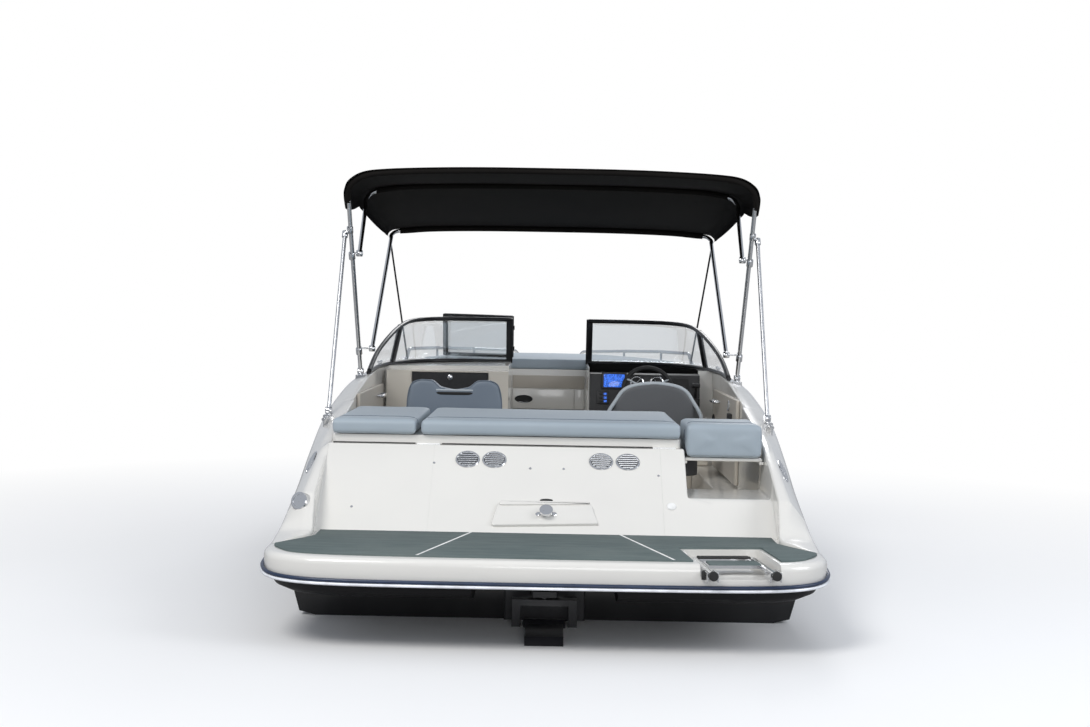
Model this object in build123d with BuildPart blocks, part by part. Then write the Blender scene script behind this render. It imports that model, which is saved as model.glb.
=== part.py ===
"""Open bowrider speedboat with a stern drive, a swim platform and a folding sun top, in millimetres.

+Y points to the bow, +X to starboard and +Z up. The origin is on the centreline at the waterline,
30 mm ahead of the transom.
"""
import os
from math import cos, radians, sin

from build123d import *

os.makedirs("parts", exist_ok=True)

# Overall sizes
half_beam = 1235.0
bow_y = 5550.0
transom_y = -30.0
platform_end_y = -800.0
platform_top = 400.0
floor_top = 200.0
running_gap = 0.3
pin_gap = 0.1

# Hull sections, from the transom to the stem.
# Columns: forward, keel height, chine half-width, chine height, rail half-width, rail height
hull_table = (
    (0.000, -370, 0.935, 20, 1.000, 375),
    (0.180, -370, 0.935, 22, 1.000, 590),
    (0.400, -362, 0.905, 40, 1.000, 762),
    (0.560, -335, 0.825, 85, 0.975, 838),
    (0.700, -275, 0.672, 165, 0.885, 880),
    (0.810, -175, 0.500, 280, 0.735, 902),
    (0.895, -20, 0.315, 430, 0.520, 917),
    (0.955, 250, 0.150, 600, 0.290, 927),
    (1.000, 600, 0.028, 760, 0.075, 935),
)
chine_flat = 55.0

# Deck moulding above the rail.
# Columns: forward, shoulder half-width, shoulder height, crown half-width, crown height
deck_table = (
    (0.000, 1.000, 462, 0.925, 575),
    (0.057, 1.000, 560, 0.915, 705),
    (0.120, 1.000, 695, 0.915, 815),
    (0.194, 1.000, 838, 0.915, 885),
    (0.300, 0.995, 945, 0.915, 975),
    (0.400, 0.985, 1010, 0.900, 1040),
    (0.560, 0.955, 1045, 0.860, 1075),
    (0.700, 0.860, 1045, 0.760, 1078),
    (0.810, 0.700, 1035, 0.600, 1068),
    (0.895, 0.485, 1022, 0.385, 1050),
    (0.955, 0.260, 1010, 0.170, 1030),
    (1.000, 0.062, 1000, 0.030, 1010),
)
length = bow_y - transom_y
past_beam = half_beam + 165.0

# Cockpit, passage and bow
cockpit_half = 1095.0
footwell_half = 950.0
ledge_z = 450.0
cockpit_front_y = 2850.0
walk_half = 262.0
bow_bulkhead_y = 3600.0
bow_step_depth = 250.0
bow_step_z = 560.0
bow_base_z = 1035.0
transom_top_y = 400.0
pad_base_z = 775.0
pad_front_y = 1350.0
inner_half = 1088.0
passage_left = 682.0
passage_right = 1080.0
threshold_z = 560.0

# Sun pad
lid_thick = 45.0
pad_thick = 82.0
pad_split_x = -645.0
lid_right = 672.0
pad_left = -1082.0
filler_drop = 60.0
filler_ledge = 18.0
filler_front_y = 830.0


def side_prism(outline, x_low, x_high):
    """Solid with a (y, z) outline between two x values."""
    with BuildPart() as solid:
        with BuildSketch(Plane.YZ.offset(x_low)):
            with BuildLine():
                Polyline(*outline, close=True)
            make_face()
        extrude(amount=x_high - x_low)
    return solid.part


def plan_prism(outline, z_low, z_high):
    """Solid with an (x, y) outline between two heights."""
    with BuildPart() as solid:
        with BuildSketch(Plane.XY.offset(z_low)):
            with BuildLine():
                Polyline(*outline, close=True)
            make_face()
        extrude(amount=z_high - z_low)
    return solid.part


def front_prism(outline, y_low, y_high):
    """Solid with an (x, z) outline between two y values."""
    with BuildPart() as solid:
        with BuildSketch(Plane.XZ.offset(-y_high)):
            with BuildLine():
                Polyline(*outline, close=True)
            make_face()
        extrude(amount=y_high - y_low)
    return solid.part


def block(x_low, x_high, y_low, y_high, z_low, z_high, edge=0.0):
    """Box between six planes, with its upright edges rounded."""
    with BuildPart() as solid:
        with Locations(((x_low + x_high) / 2, (y_low + y_high) / 2, (z_low + z_high) / 2)):
            Box(x_high - x_low, y_high - y_low, z_high - z_low)
        if edge:
            fillet(solid.edges().filter_by(Axis.Z), edge)
    return solid.part


def tube(points, radius, corner):
    """Round bar along straight runs joined by arcs."""
    with BuildPart() as run:
        with BuildLine() as path:
            FilletPolyline(*points, radius=corner)
        with BuildSketch(Plane(path.line @ 0, z_dir=path.line % 0)):
            Circle(radius)
        sweep(path=path.line)
    return run.part


def rod(start, end, radius):
    """Straight round bar between two points."""
    reach = Vector(*end) - Vector(*start)
    with BuildPart() as bar:
        with BuildSketch(Plane(origin=start, z_dir=reach)):
            Circle(radius)
        extrude(amount=reach.length)
    return bar.part


def ruled_body(sections):
    """Solid ruled through (y, outline) sections, each outline in (x, z)."""
    with BuildPart() as body:
        for y, outline in sections:
            with BuildSketch(Plane.XZ.offset(-y)):
                with BuildLine():
                    Polyline(*outline, close=True)
                make_face()
        loft(ruled=True)
    return body.part


def flat_panel(corners, thickness):
    """Plate whose outline is given in space, grown along its own normal."""
    a, b, c = (Vector(*corners[i]) for i in (0, 1, -1))
    plane = Plane(origin=a, x_dir=b - a, z_dir=(b - a).cross(c - a))
    with BuildPart() as plate:
        with BuildSketch(plane):
            with BuildLine():
                flat = [plane.to_local_coords(Vector(*p)) for p in corners]
                Polyline(*[(p.X, p.Y) for p in flat], close=True)
            make_face()
        extrude(amount=thickness / 2, both=True)
    return plate.part


def both_sides(solid):
    """The solid and its mirror image across the centreline."""
    with BuildPart() as pair:
        add(solid)
        mirror(about=Plane.YZ)
    return pair.part


def save(name, solid):
    """Label the piece and write it."""
    solid.label = name
    export_step(solid, "parts/" + name + ".step")


def at_length(share):
    """Distance forward for a share of the hull's length."""
    return transom_y + share * length


def rail_at(y):
    """Rail half-width and height at a distance forward."""
    rows = [(at_length(r[0]), r[4] * half_beam, r[5]) for r in hull_table]
    for (y0, b0, z0), (y1, b1, z1) in zip(rows, rows[1:]):
        if y <= y1:
            share = (y - y0) / (y1 - y0)
            return b0 + share * (b1 - b0), z0 + share * (z1 - z0)
    return rows[-1][1], rows[-1][2]


def deck_at(y):
    """Shoulder half-width and height, then crown half-width and height, at a distance forward."""
    rows = [(at_length(r[0]), r[1] * half_beam, r[2], r[3] * half_beam, r[4]) for r in deck_table]
    for low, high in zip(rows, rows[1:]):
        if y <= high[0]:
            share = (y - low[0]) / (high[0] - low[0])
            return [a + share * (b - a) for a, b in zip(low[1:], high[1:])]
    return rows[-1][1:]


# Hull: running surface, sides and the shelf under the platform
hull_sections = []
for share, keel_z, chine_share, chine_z, rail_share, rail_z in hull_table:
    chine = chine_share * half_beam
    inner_chine = max(chine - chine_flat, chine * 0.6)
    rail = rail_share * half_beam
    right = [(inner_chine, chine_z - 12), (chine, chine_z), (rail, rail_z)]
    left = [(-x, z) for x, z in reversed(right)]
    hull_sections.append((at_length(share), left + [(0, keel_z)] + right))
running_hull = ruled_body(hull_sections)

# Columns: half-width, distance forward
platform_outline = (
    (0, platform_end_y),
    (600, platform_end_y + 5),
    (930, platform_end_y + 22),
    (1100, platform_end_y + 62),
    (1200, platform_end_y + 140),
    (half_beam, platform_end_y + 270),
    (half_beam, transom_y),
)


def mirrored_outline(half, inset=0.0, aft=0.0):
    """Whole outline from its starboard half, drawn in at the sides and at the back."""
    moved = [(max(x - inset, 0), y + aft * (y < transom_y)) for x, y in half]
    return moved + [(-x, y) for x, y in reversed(moved) if x > 0]


shelf_bottom = 195.0
shelf_inset = 150.0
platform_rail_z = 300.0
platform_side = ((platform_end_y - 50, platform_rail_z - 8), (-400, 332), (transom_y, hull_table[0][5]))
with BuildPart() as shelf:
    for z, inset, aft in ((shelf_bottom, shelf_inset, 110), (300, 18, 12), (420, 18, 12)):
        with BuildSketch(Plane.XY.offset(z)):
            with BuildLine():
                Polyline(*mirrored_outline(platform_outline, inset, aft), close=True)
            make_face()
    loft(ruled=True)
    add(
        side_prism(list(platform_side) + [(transom_y, 500), (platform_end_y - 50, 500)],
                   -past_beam, past_beam),
        mode=Mode.SUBTRACT,
    )
    # Tunnel that leaves the drive room to tilt and steer
    with BuildSketch(Plane.XY.offset(shelf_bottom - 10)):
        with Locations((0, -400)):
            Rectangle(620, 2000)
    extrude(amount=95, mode=Mode.SUBTRACT)

bay_half = 560.0
bay_aft_y = 250.0
bay_floor = -120.0
bay_side = (
    (bay_aft_y, bay_floor), (bay_aft_y, 590),
    (transom_top_y + 60, pad_base_z - 45), (transom_top_y + 60, 1400),
    (pad_front_y - 30, 1400), (pad_front_y - 30, bay_floor),
)
with BuildPart() as cavity:
    with BuildSketch(Plane.XY.offset(floor_top)):
        with BuildLine():
            Polyline(
                (-footwell_half, 950), (-footwell_half, cockpit_front_y), (-walk_half, cockpit_front_y),
                (-walk_half, bow_bulkhead_y), (walk_half, bow_bulkhead_y), (walk_half, cockpit_front_y),
                (footwell_half, cockpit_front_y), (footwell_half, 950), close=True,
            )
        make_face()
    extrude(amount=1200)
    add(block(-cockpit_half, cockpit_half, pad_front_y, cockpit_front_y, ledge_z, 1400))
    # Engine bay, open upwards under the lid
    add(side_prism(bay_side, -bay_half, bay_half))
    # Passage to the platform
    add(block(passage_left, passage_right, transom_y - 700, pad_front_y + 1, threshold_z, pad_base_z + 1))
    add(block(passage_left, passage_right, 560, pad_front_y + 1, 370, pad_base_z + 1))
    add(block(passage_left, footwell_half, 940, pad_front_y + 1, floor_top, pad_base_z + 1))

with BuildPart() as hull:
    add(running_hull)
    add(cavity.part, mode=Mode.SUBTRACT)
    add(shelf.part)
save("hull", hull.part)

# Deck moulding: gunwales, transom face, cowl and foredeck, with its own quarters over the platform
deck_sections = []
for share in sorted({row[0] for row in hull_table} | {row[0] for row in deck_table}):
    y = at_length(share)
    rail, rail_z = rail_at(y)
    shoulder, shoulder_z, crown, crown_z = deck_at(y)
    right = [(crown, crown_z), (shoulder, shoulder_z), (rail, rail_z)]
    left = [(-x, z) for x, z in reversed(right)]
    deck_sections.append((y, left + right))
deck_body = ruled_body(deck_sections)

# Quarters. Columns: forward, wall half-width, crown half-width and height, shoulder half-width and height
quarter_table = (
    (transom_y - 410, half_beam - 27, half_beam - 22, 406, half_beam - 9, 404),
    (transom_y - 270, half_beam - 113, half_beam - 85, 414, half_beam - 3, 410),
    (transom_y - 176, inner_half - 16, inner_half + 20, 426, half_beam, 421),
    (transom_y - 90, inner_half - 8, inner_half + 30, 494, half_beam, 442),
    (transom_y, inner_half, 0.925 * half_beam, 575, half_beam, 462),
)
quarter_sections = []
for y, wall, crown, crown_z, shoulder, shoulder_z in quarter_table:
    outline = [(wall, platform_top), (shoulder, platform_top), (shoulder, shoulder_z), (crown, crown_z)]
    quarter_sections.append((y, outline + [(wall, crown_z)]))
quarter = ruled_body(quarter_sections)

transom_notch = (
    (transom_y - 1, platform_top),
    (transom_y, platform_top),
    (transom_top_y, pad_base_z),
    (pad_front_y, pad_base_z),
    (pad_front_y, 1400),
    (transom_y - 1, 1400),
)
# Bow well. Columns: share of the room ahead of the bulkhead, distance in from the crown of the deck
bow_well_table = ((0.0205, 81), (0.2308, 72.5), (0.4615, 68), (0.6359, 70), (0.7487, 99))
bow_room = bow_y - bow_bulkhead_y
bow_well = []
for share, inset in bow_well_table:
    y = bow_bulkhead_y + share * bow_room
    bow_well.append((deck_at(y)[2] - inset, y))
bow_well.append((0, bow_bulkhead_y + 0.7795 * bow_room))
hatch_hinges = ((-650.0, -536.0), (526.0, 640.0))
hatch_axis = (transom_top_y + 22, pad_base_z + running_gap)
hatch_knuckle = 6.0
hatch_pin = 3.0
hatch_play = 0.5
hatch_pin_end = 6.0
cowl_low = 600.0
cowl_length = 450.0
with BuildPart() as deck:
    add(deck_body)
    # Cowl under the aft edge of the hatch lid, above the crowns there
    add(block(-inner_half, inner_half, bay_aft_y, bay_aft_y + cowl_length, cowl_low, 1000))
    add(side_prism(transom_notch, -inner_half, inner_half), mode=Mode.SUBTRACT)
    add(cavity.part, mode=Mode.SUBTRACT)
    bow_outline = [(bow_well[0][0], bow_bulkhead_y)] + list(bow_well)
    add(
        plan_prism(bow_outline + [(-x, y) for x, y in reversed(bow_outline) if x > 0], bow_base_z, 1400),
        mode=Mode.SUBTRACT,
    )
    add(both_sides(quarter))
    # Ledges in the passage for the filler
    for low in (passage_left - 1, passage_right - filler_ledge):
        add(block(low, low + filler_ledge + 1, transom_top_y + 30, filler_front_y - 20,
                  pad_base_z - filler_drop - 14, pad_base_z - filler_drop))
    # Grooves and pins of the engine hatch's two hinges
    for low, high in hatch_hinges:
        groove_ends = (low - hatch_play, *hatch_axis), (high + hatch_play, *hatch_axis)
        add(rod(*groove_ends, hatch_knuckle + hatch_play), mode=Mode.SUBTRACT)
        add(rod((low - hatch_pin_end, *hatch_axis), (high + hatch_pin_end, *hatch_axis), hatch_pin))
save("deck_moulding", deck.part)

# Swim platform with the ladder's recess open at its aft edge
ladder_turn = 6.0
ladder_hinge = Vector(829, -838, 366)
ladder_half = 172.0
recess_floor = 338.0
recess_length = 455.0
ladder_place = Location(ladder_hinge, (0, 0, ladder_turn))
recess_low = recess_floor - ladder_hinge.Z
recess = ladder_place * block(-ladder_half, ladder_half, -60, recess_length, recess_low, 200)
mat_cut = ladder_place * block(-ladder_half - 8, ladder_half + 8, -60, recess_length + 8, 0, 200)
with BuildPart() as platform:
    add(plan_prism(mirrored_outline(platform_outline), 250, platform_top))
    add(
        side_prism(list(platform_side) + [(transom_y, 100), (platform_end_y - 50, 100)],
                   -past_beam, past_beam),
        mode=Mode.SUBTRACT,
    )
    add(recess, mode=Mode.SUBTRACT)
save("swim_platform", platform.part)

# Foam mats on the platform: port, middle and starboard panels
mat_thick = 8.0
mat_seam = 12.0
mat_aft = platform_end_y + 62
mat_outline = (
    (0, mat_aft), (600, mat_aft + 6), (920, mat_aft + 26), (1080, mat_aft + 70), (1150, mat_aft + 150),
    (half_beam - 43, transom_y - 470), (half_beam - 40, transom_y - 432), (half_beam - 129, transom_y - 282),
    (inner_half - 30, transom_y - 186), (inner_half - 30, transom_y - 12),
)
with BuildPart() as mats:
    with BuildSketch(Plane.XY.offset(platform_top)):
        with BuildLine():
            Polyline(
                *mirrored_outline(mat_outline), close=True,
            )
        make_face()
        for side in (-1, 1):
            with BuildLine():
                Polyline(
                    (side * 345, transom_y), (side * 345 + mat_seam, transom_y),
                    (side * 545 + mat_seam, platform_end_y), (side * 545, platform_end_y), close=True,
                )
            make_face(mode=Mode.SUBTRACT)
    extrude(amount=mat_thick)
    add(mat_cut, mode=Mode.SUBTRACT)
save("platform_mats", mats.part)

# Rub rail along both sides, across the stem and round the platform
rail_out = 22.0
rail_half = 17.0
rail_sections = []
for share in [row[0] for row in hull_table]:
    rail, rail_z = rail_at(at_length(share))
    outline = [(rail, rail_z - rail_half), (rail + rail_out, rail_z - 11), (rail + rail_out, rail_z + 11)]
    rail_sections.append((at_length(share), outline + [(rail, rail_z + rail_half)]))
stem_rail, stem_z = rail_at(bow_y)
stem_outline = (
    (-stem_rail - rail_out, stem_z - 11), (stem_rail + rail_out, stem_z - 11),
    (stem_rail + rail_out, stem_z + 11), (-stem_rail - rail_out, stem_z + 11),
)
slant = [(y, z - rail_half) for y, z in platform_side]
slant += [(y, z + rail_half) for y, z in reversed(platform_side)]
with BuildPart() as stern_rail:
    with BuildSketch(Plane.XY.offset(200)):
        with BuildLine():
            Polyline(*mirrored_outline(platform_outline, -rail_out, -rail_out), close=True)
        make_face()
        with BuildLine():
            Polyline(*mirrored_outline(platform_outline), close=True)
        make_face(mode=Mode.SUBTRACT)
    extrude(amount=300)
    add(side_prism(slant, -past_beam, past_beam), mode=Mode.INTERSECT)
with BuildPart() as rub_rail:
    add(both_sides(ruled_body(rail_sections)))
    add(front_prism(stem_outline, bow_y, bow_y + rail_out))
    add(stern_rail.part)
save("rub_rail", rub_rail.part)

# Cockpit floor mat, engine and side liners
mat_gap = 4.0
floor_mat = 12.0
mat_top = floor_top + floor_mat + 0.3
bench_front_y = pad_front_y + 465
mat_start = bench_front_y + mat_gap
console_aft_y = 2700.0
mat_front = console_aft_y - mat_gap
with BuildPart() as floor:
    with BuildSketch(Plane.XY.offset(floor_top)):
        with BuildLine():
            half = footwell_half - mat_gap
            aisle = walk_half - mat_gap
            aisle_end = bow_bulkhead_y - bow_step_depth - mat_gap
            Polyline(
                (-half, mat_start), (-half, mat_front), (-aisle, mat_front), (-aisle, aisle_end),
                (aisle, aisle_end), (aisle, mat_front), (half, mat_front), (half, mat_start), close=True,
            )
        make_face()
    extrude(amount=floor_mat)
save("cockpit_floor_mat", floor.part)
save("engine_block", block(-330, 330, bay_aft_y + 25, 990, bay_floor, 520))
save("bow_step", block(1 - walk_half, walk_half - 1, bow_bulkhead_y - bow_step_depth, bow_bulkhead_y,
                       floor_top, bow_step_z))
liner = block(cockpit_half - 24, cockpit_half, 1500, cockpit_front_y - 160, ledge_z + 20, 960)
save("side_liners", both_sides(liner))

# Aft bench across the cockpit, ahead of the engine
bench_right = 650.0
bench_top = 470.0
bench = block(1 - footwell_half, bench_right, pad_front_y - 28, bench_front_y, floor_top, bench_top, 27)
with BuildPart() as bench_cushions:
    add(block(-footwell_half + 6, bench_right - 5, pad_front_y + 118, bench_front_y - 4, bench_top, 575, 45))
    add(block(-footwell_half + 6, bench_right - 5, pad_front_y + 5, pad_front_y + 110, bench_top, 835, 30))
save("bench_cushions", bench_cushions.part)

# Sun pad: hatch lid with the port and middle pads, and the loose filler over the passage
pad_gap = 8.0
hatch_axis_y, lid_z = hatch_axis
pad_z = lid_z + lid_thick + 0.3
pad_aft_y = transom_top_y - 12
with BuildPart() as hatch_lid:
    add(block(pad_left + 6, lid_right - 6, hatch_axis_y + 4, pad_front_y - 8, lid_z, lid_z + lid_thick, 20))
    for low, high in hatch_hinges:
        add(rod((low, *hatch_axis), (high, *hatch_axis), hatch_knuckle))
        add(rod((low - 1, *hatch_axis), (high + 1, *hatch_axis), hatch_pin + pin_gap), mode=Mode.SUBTRACT)
save("engine_hatch_lid", hatch_lid.part)
pad_front = pad_front_y - 4
save("sun_pad_port", block(pad_left, pad_split_x - pad_gap / 2, pad_aft_y, pad_front, pad_z,
                           pad_z + pad_thick, 45))
save("sun_pad_middle", block(pad_split_x + pad_gap / 2, lid_right, pad_aft_y, pad_front, pad_z,
                             pad_z + pad_thick, 45))
filler_gap = 4.0
board_thick = 18.0
board_z = pad_base_z - filler_drop + running_gap
filler_low = board_z + board_thick + running_gap
save("filler_board", block(passage_left + filler_gap, passage_right - filler_gap, hatch_axis_y + 4,
                           filler_front_y - 8, board_z, board_z + board_thick))
save("filler_pad", block(passage_left + filler_gap, passage_right - filler_gap, pad_aft_y, filler_front_y,
                         filler_low, pad_z + pad_thick, 45))

# Helm seat on its pedestal. The back wraps round so that the seat turns clear of the bench and the wheel.
seat_x = 633.0
seat_y = 2150.0
seat_half = 280.0
swivel_z = 470.0
cushion_aft, cushion_front = -200.0, 225.0
with BuildPart() as pedestal:
    with BuildSketch(Plane.XZ):
        with BuildLine():
            Polyline(
                (0, mat_top), (150, mat_top), (150, mat_top + 12), (52, mat_top + 28), (38, mat_top + 50),
                (38, swivel_z - 30), (90, swivel_z - 12), (90, swivel_z - running_gap),
                (0, swivel_z - running_gap), close=True,
            )
        make_face()
    revolve(axis=Axis.Z)
save("helm_seat_pedestal", Pos(seat_x, seat_y, 0) * pedestal.part)
cushion_top = swivel_z + 120
back_low = cushion_top - 6
back_top = 1035.0
# Half of the arched back seen from behind. Columns: sideways, height
back_arch = ((seat_half, back_low), (seat_half, 830), (225, 930), (185, 985), (120, 1018), (0, back_top))
# Half of the back seen from above, round the outside and back along the inside. Columns: sideways, forward
back_wrap = (
    (0, -285), (225, -285), (272, -215), (280, -130), (205, -130),
    (190, cushion_aft + 8), (0, cushion_aft + 8),
)
with BuildPart() as helm_back:
    wrap_outline = list(back_wrap) + [(-x, y) for x, y in reversed(back_wrap) if x > 0]
    add(plan_prism(wrap_outline, back_low, 1100))
    arch = list(back_arch) + [(-x, z) for x, z in reversed(back_arch) if x > 0]
    add(front_prism(arch, -400, 0), mode=Mode.INTERSECT)
with BuildPart() as helm_seat:
    add(block(-seat_half, seat_half, cushion_aft, cushion_front, swivel_z, cushion_top, 90))
    add(helm_back.part)
save("helm_seat", Pos(seat_x, seat_y, 0) * helm_seat.part)

port_seat_x = -560.0
port_seat_width = 570.0
port_base_top = 490.0
port_seat_aft = 1980.0
port_seat_front = 2480.0
port_back_axis = (port_seat_aft - 2, 612.0)
back_pin = 6.0
with BuildPart() as seat_bases:
    add(bench)
    # Ears on both sides of the port seat, with the pins that its back turns on
    for side in (-1, 1):
        ear_x = port_seat_x + side * (port_seat_width / 2 + 4)
        add(block(ear_x - 4, ear_x + 4, port_seat_aft - 30, port_seat_aft + 100, 440, 640))
        add(rod((ear_x - side * 22, *port_back_axis), (ear_x, *port_back_axis), back_pin))
    add(block(port_seat_x - port_seat_width / 2, port_seat_x + port_seat_width / 2, port_seat_aft,
              port_seat_front, mat_top, port_base_top, 40))
save("seat_bases", seat_bases.part)
save("port_seat_cushion", block(port_seat_x - port_seat_width / 2 + 4, port_seat_x + port_seat_width / 2 - 4,
                                port_seat_aft + 6, port_seat_front - 4, port_base_top,
                                port_base_top + 95, 40))
port_back_low = 598.0
port_back_outline = (
    (-284, port_back_low), (-284, 900), (-262, 1000), (-210, 1028), (-130, 1025), (-85, 985), (0, 968),
    (85, 985), (130, 1025), (210, 1028), (262, 1000), (284, 900), (284, port_back_low),
)
port_back_points = [(port_seat_x + x, z) for x, z in port_back_outline]
with BuildPart() as port_back:
    add(front_prism(port_back_points, port_seat_aft - 95, port_back_axis[0]))
    for side in (-1, 1):
        end_x = port_seat_x + side * port_seat_width / 2
        add(rod((end_x - side * 24, *port_back_axis), (end_x + side * 1, *port_back_axis), back_pin + 0.1),
            mode=Mode.SUBTRACT)
save("port_seat_back", port_back.part)

# Consoles under the cowl
console_top = 1050.0
console_half = 1055.0
glove_left, glove_right = -890.0, -392.0
glove_low, glove_high = 930.0, 1040.0
# Hinge of the glovebox door, below its edge. An axis holds its distance forward and its height
glove_axis = (console_aft_y - 8, glove_low - 4)
glove_hinges = (glove_left + 60, glove_right - 60)
knuckle_length = 28.0
knuckle_radius = 6.0
knuckle_pin = 3.0
with BuildPart() as port_console:
    add(block(-console_half, -walk_half, console_aft_y, cockpit_front_y, ledge_z, console_top))
    add(block(-footwell_half + 1, -walk_half, console_aft_y, cockpit_front_y, floor_top, ledge_z + 1))
    add(block(glove_left, glove_right, console_aft_y - 1, console_aft_y + 110, glove_low, glove_high),
        mode=Mode.SUBTRACT)
    # Fixed knuckles and pins of the glovebox door
    for x in glove_hinges:
        add(rod((x, *glove_axis), (x + knuckle_length, *glove_axis), knuckle_radius))
        add(block(x, x + knuckle_length, glove_axis[0], console_aft_y, glove_axis[1] - 4, glove_axis[1] + 4))
        add(rod((x - knuckle_length, *glove_axis), (x, *glove_axis), knuckle_pin))
save("port_console", port_console.part)
with BuildPart() as glovebox_door:
    add(block(glove_left + 3, glove_right - 3, console_aft_y - 12, console_aft_y + 4,
              glove_low + 3, glove_high - 3))
    for x in glove_hinges:
        start, end = x - knuckle_length, x - running_gap
        add(rod((start, *glove_axis), (end, *glove_axis), knuckle_radius))
        add(block(start, end, glove_axis[0] - 4, glove_axis[0] + 4, glove_axis[1], glove_low + 4))
        add(rod((start - 1, *glove_axis), (end + 1, *glove_axis), knuckle_pin + pin_gap), mode=Mode.SUBTRACT)
save("glovebox_door", glovebox_door.part)

dash_low_z = 770.0
with BuildPart() as helm_console:
    add(block(walk_half, console_half, console_aft_y + 70, cockpit_front_y, ledge_z, dash_low_z))
    add(block(walk_half, footwell_half - 1, console_aft_y + 70, cockpit_front_y, floor_top, ledge_z + 1))
save("helm_console", helm_console.part)
dash_outline = (
    (console_aft_y - 20, dash_low_z), (console_aft_y + 30, 1045), (console_aft_y + 90, console_top + 2),
    (cockpit_front_y - 1, console_top + 2), (cockpit_front_y - 1, dash_low_z),
)
dash = side_prism(dash_outline, walk_half + 8, 985)

# Steering wheel on its column
wheel_x = 640.0
wheel_radius = 158.0
rim_radius = 14.0
wheel_tilt = 25.0
column_start = 56.0
wheel_centre = Vector(wheel_x, console_aft_y - 95, 950)
column_dir = Vector(0, cos(radians(wheel_tilt)), -sin(radians(wheel_tilt)))
wheel_plane = Plane(origin=wheel_centre, x_dir=(1, 0, 0), z_dir=column_dir)
wheel_rim = wheel_plane.location * Torus(wheel_radius, rim_radius)
with BuildPart() as wheel:
    add(wheel_rim)
    with BuildSketch(wheel_plane.offset(-4)):
        Circle(38)
        with PolarLocations(0, 3, start_angle=90):
            with Locations((wheel_radius / 2, 0)):
                Rectangle(wheel_radius, 30)
    extrude(amount=12)
    with BuildSketch(wheel_plane.offset(8)):
        Circle(26)
    extrude(amount=column_start - running_gap - 8)
save("steering_wheel", wheel.part)
with BuildPart() as column:
    with BuildSketch(wheel_plane.offset(column_start)):
        Circle(34)
    extrude(amount=140)
    add(dash)
save("helm_dash", column.part)
with BuildPart() as throttle:
    add(block(930, 975, console_aft_y - 80, console_aft_y + 4, 800, 900, 8))
    add(rod((952, console_aft_y - 40, 895), (952, console_aft_y - 90, 985), 9))
    add(rod((925, console_aft_y - 92, 985), (975, console_aft_y - 92, 985), 15))
    add(dash, mode=Mode.SUBTRACT)
save("throttle_control", throttle.part)

# Windshield: starboard frame and glass, mirrored to port
frame_bar = 11.0
screen_rake = 78.0
screen_high = 292.0
deck_seat = 16.0
front_foot = Vector(270, 3450, deck_at(3450)[3] + deck_seat)
corner_foot = Vector(930, 3225, deck_at(3225)[3] + deck_seat)
end_foot = Vector(1098, 2210, deck_at(2210)[3] + deck_seat)
lean = Vector(0, -screen_rake, screen_high)
front_top = front_foot + lean
corner_top = corner_foot + lean * 0.97 + Vector(-18, 0, 0)
side_mid = Vector(1040, 2700, 1272)
side_low = Vector(1092, 2360, 1150)
screen_loop = [front_foot, front_top, corner_top, side_mid, side_low, end_foot, corner_foot]
with BuildPart() as screen_frame:
    for a, b in zip(screen_loop, screen_loop[1:] + screen_loop[:1]):
        add(rod(a, b, frame_bar))
    add(rod(corner_foot, corner_top, frame_bar))
    for joint in screen_loop:
        with Locations(joint):
            Sphere(frame_bar)

# Hinge line of the gate in the windshield, on the forward side of the port post
gate_bar = 9.0
gate_half = 244.0
gate_open = 177.0
gate_lift = 24.0
gate_rise = 4.0
axis_ahead = 26.0
gate_knuckles = (80.0, 230.0)
gate_barrel = 6.5
gate_pin = 3.5
lean_dir = lean.normalized()
hinge_foot = Vector(-gate_half - 6, front_foot.Y + axis_ahead, front_foot.Z)
hinge_line = Axis(hinge_foot, lean_dir)
port_post = Vector(-front_foot.X, front_foot.Y, front_foot.Z)
gate_stile = Vector(-gate_half, front_foot.Y, front_foot.Z)


def hinge_arm(low, high, target):
    """Barrel on the gate's hinge line between two distances up it, with an arm to a post or stile."""
    middle = (low + high) / 2
    foot = hinge_foot + lean_dir * middle
    reach = target + lean_dir * middle - foot
    reach -= lean_dir * reach.dot(lean_dir)
    arm_plane = Plane(origin=foot + reach / 2, x_dir=reach, z_dir=lean_dir)
    with BuildPart() as solid:
        add(rod(hinge_foot + lean_dir * low, hinge_foot + lean_dir * high, gate_barrel))
        with BuildSketch(arm_plane):
            Rectangle(reach.length, 7)
        extrude(amount=(high - low) / 2, both=True)
    return solid.part


with BuildPart() as windshield_frame:
    add(both_sides(screen_frame.part))
    for height in gate_knuckles:
        add(hinge_arm(height - knuckle_length, height, port_post))
        add(rod(hinge_foot + lean_dir * height, hinge_foot + lean_dir * (height + knuckle_length), gate_pin))
save("windshield_frame", windshield_frame.part)
glass_thick = 6.0
with BuildPart() as screen_glass:
    add(flat_panel([front_foot, corner_foot, corner_top, front_top], glass_thick))
    add(screen_frame.part, mode=Mode.SUBTRACT)
with BuildPart() as side_glass:
    add(flat_panel([corner_foot, end_foot, side_low, side_mid, corner_top], glass_thick))
    add(screen_frame.part, mode=Mode.SUBTRACT)


def largest(solid):
    """The biggest solid of a cut piece."""
    return solid.solids().sort_by(SortBy.VOLUME)[-1]


with BuildPart() as glass_starboard:
    add(largest(screen_glass.part))
    add(largest(side_glass.part))
save("windshield_glass", both_sides(glass_starboard.part))

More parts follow.
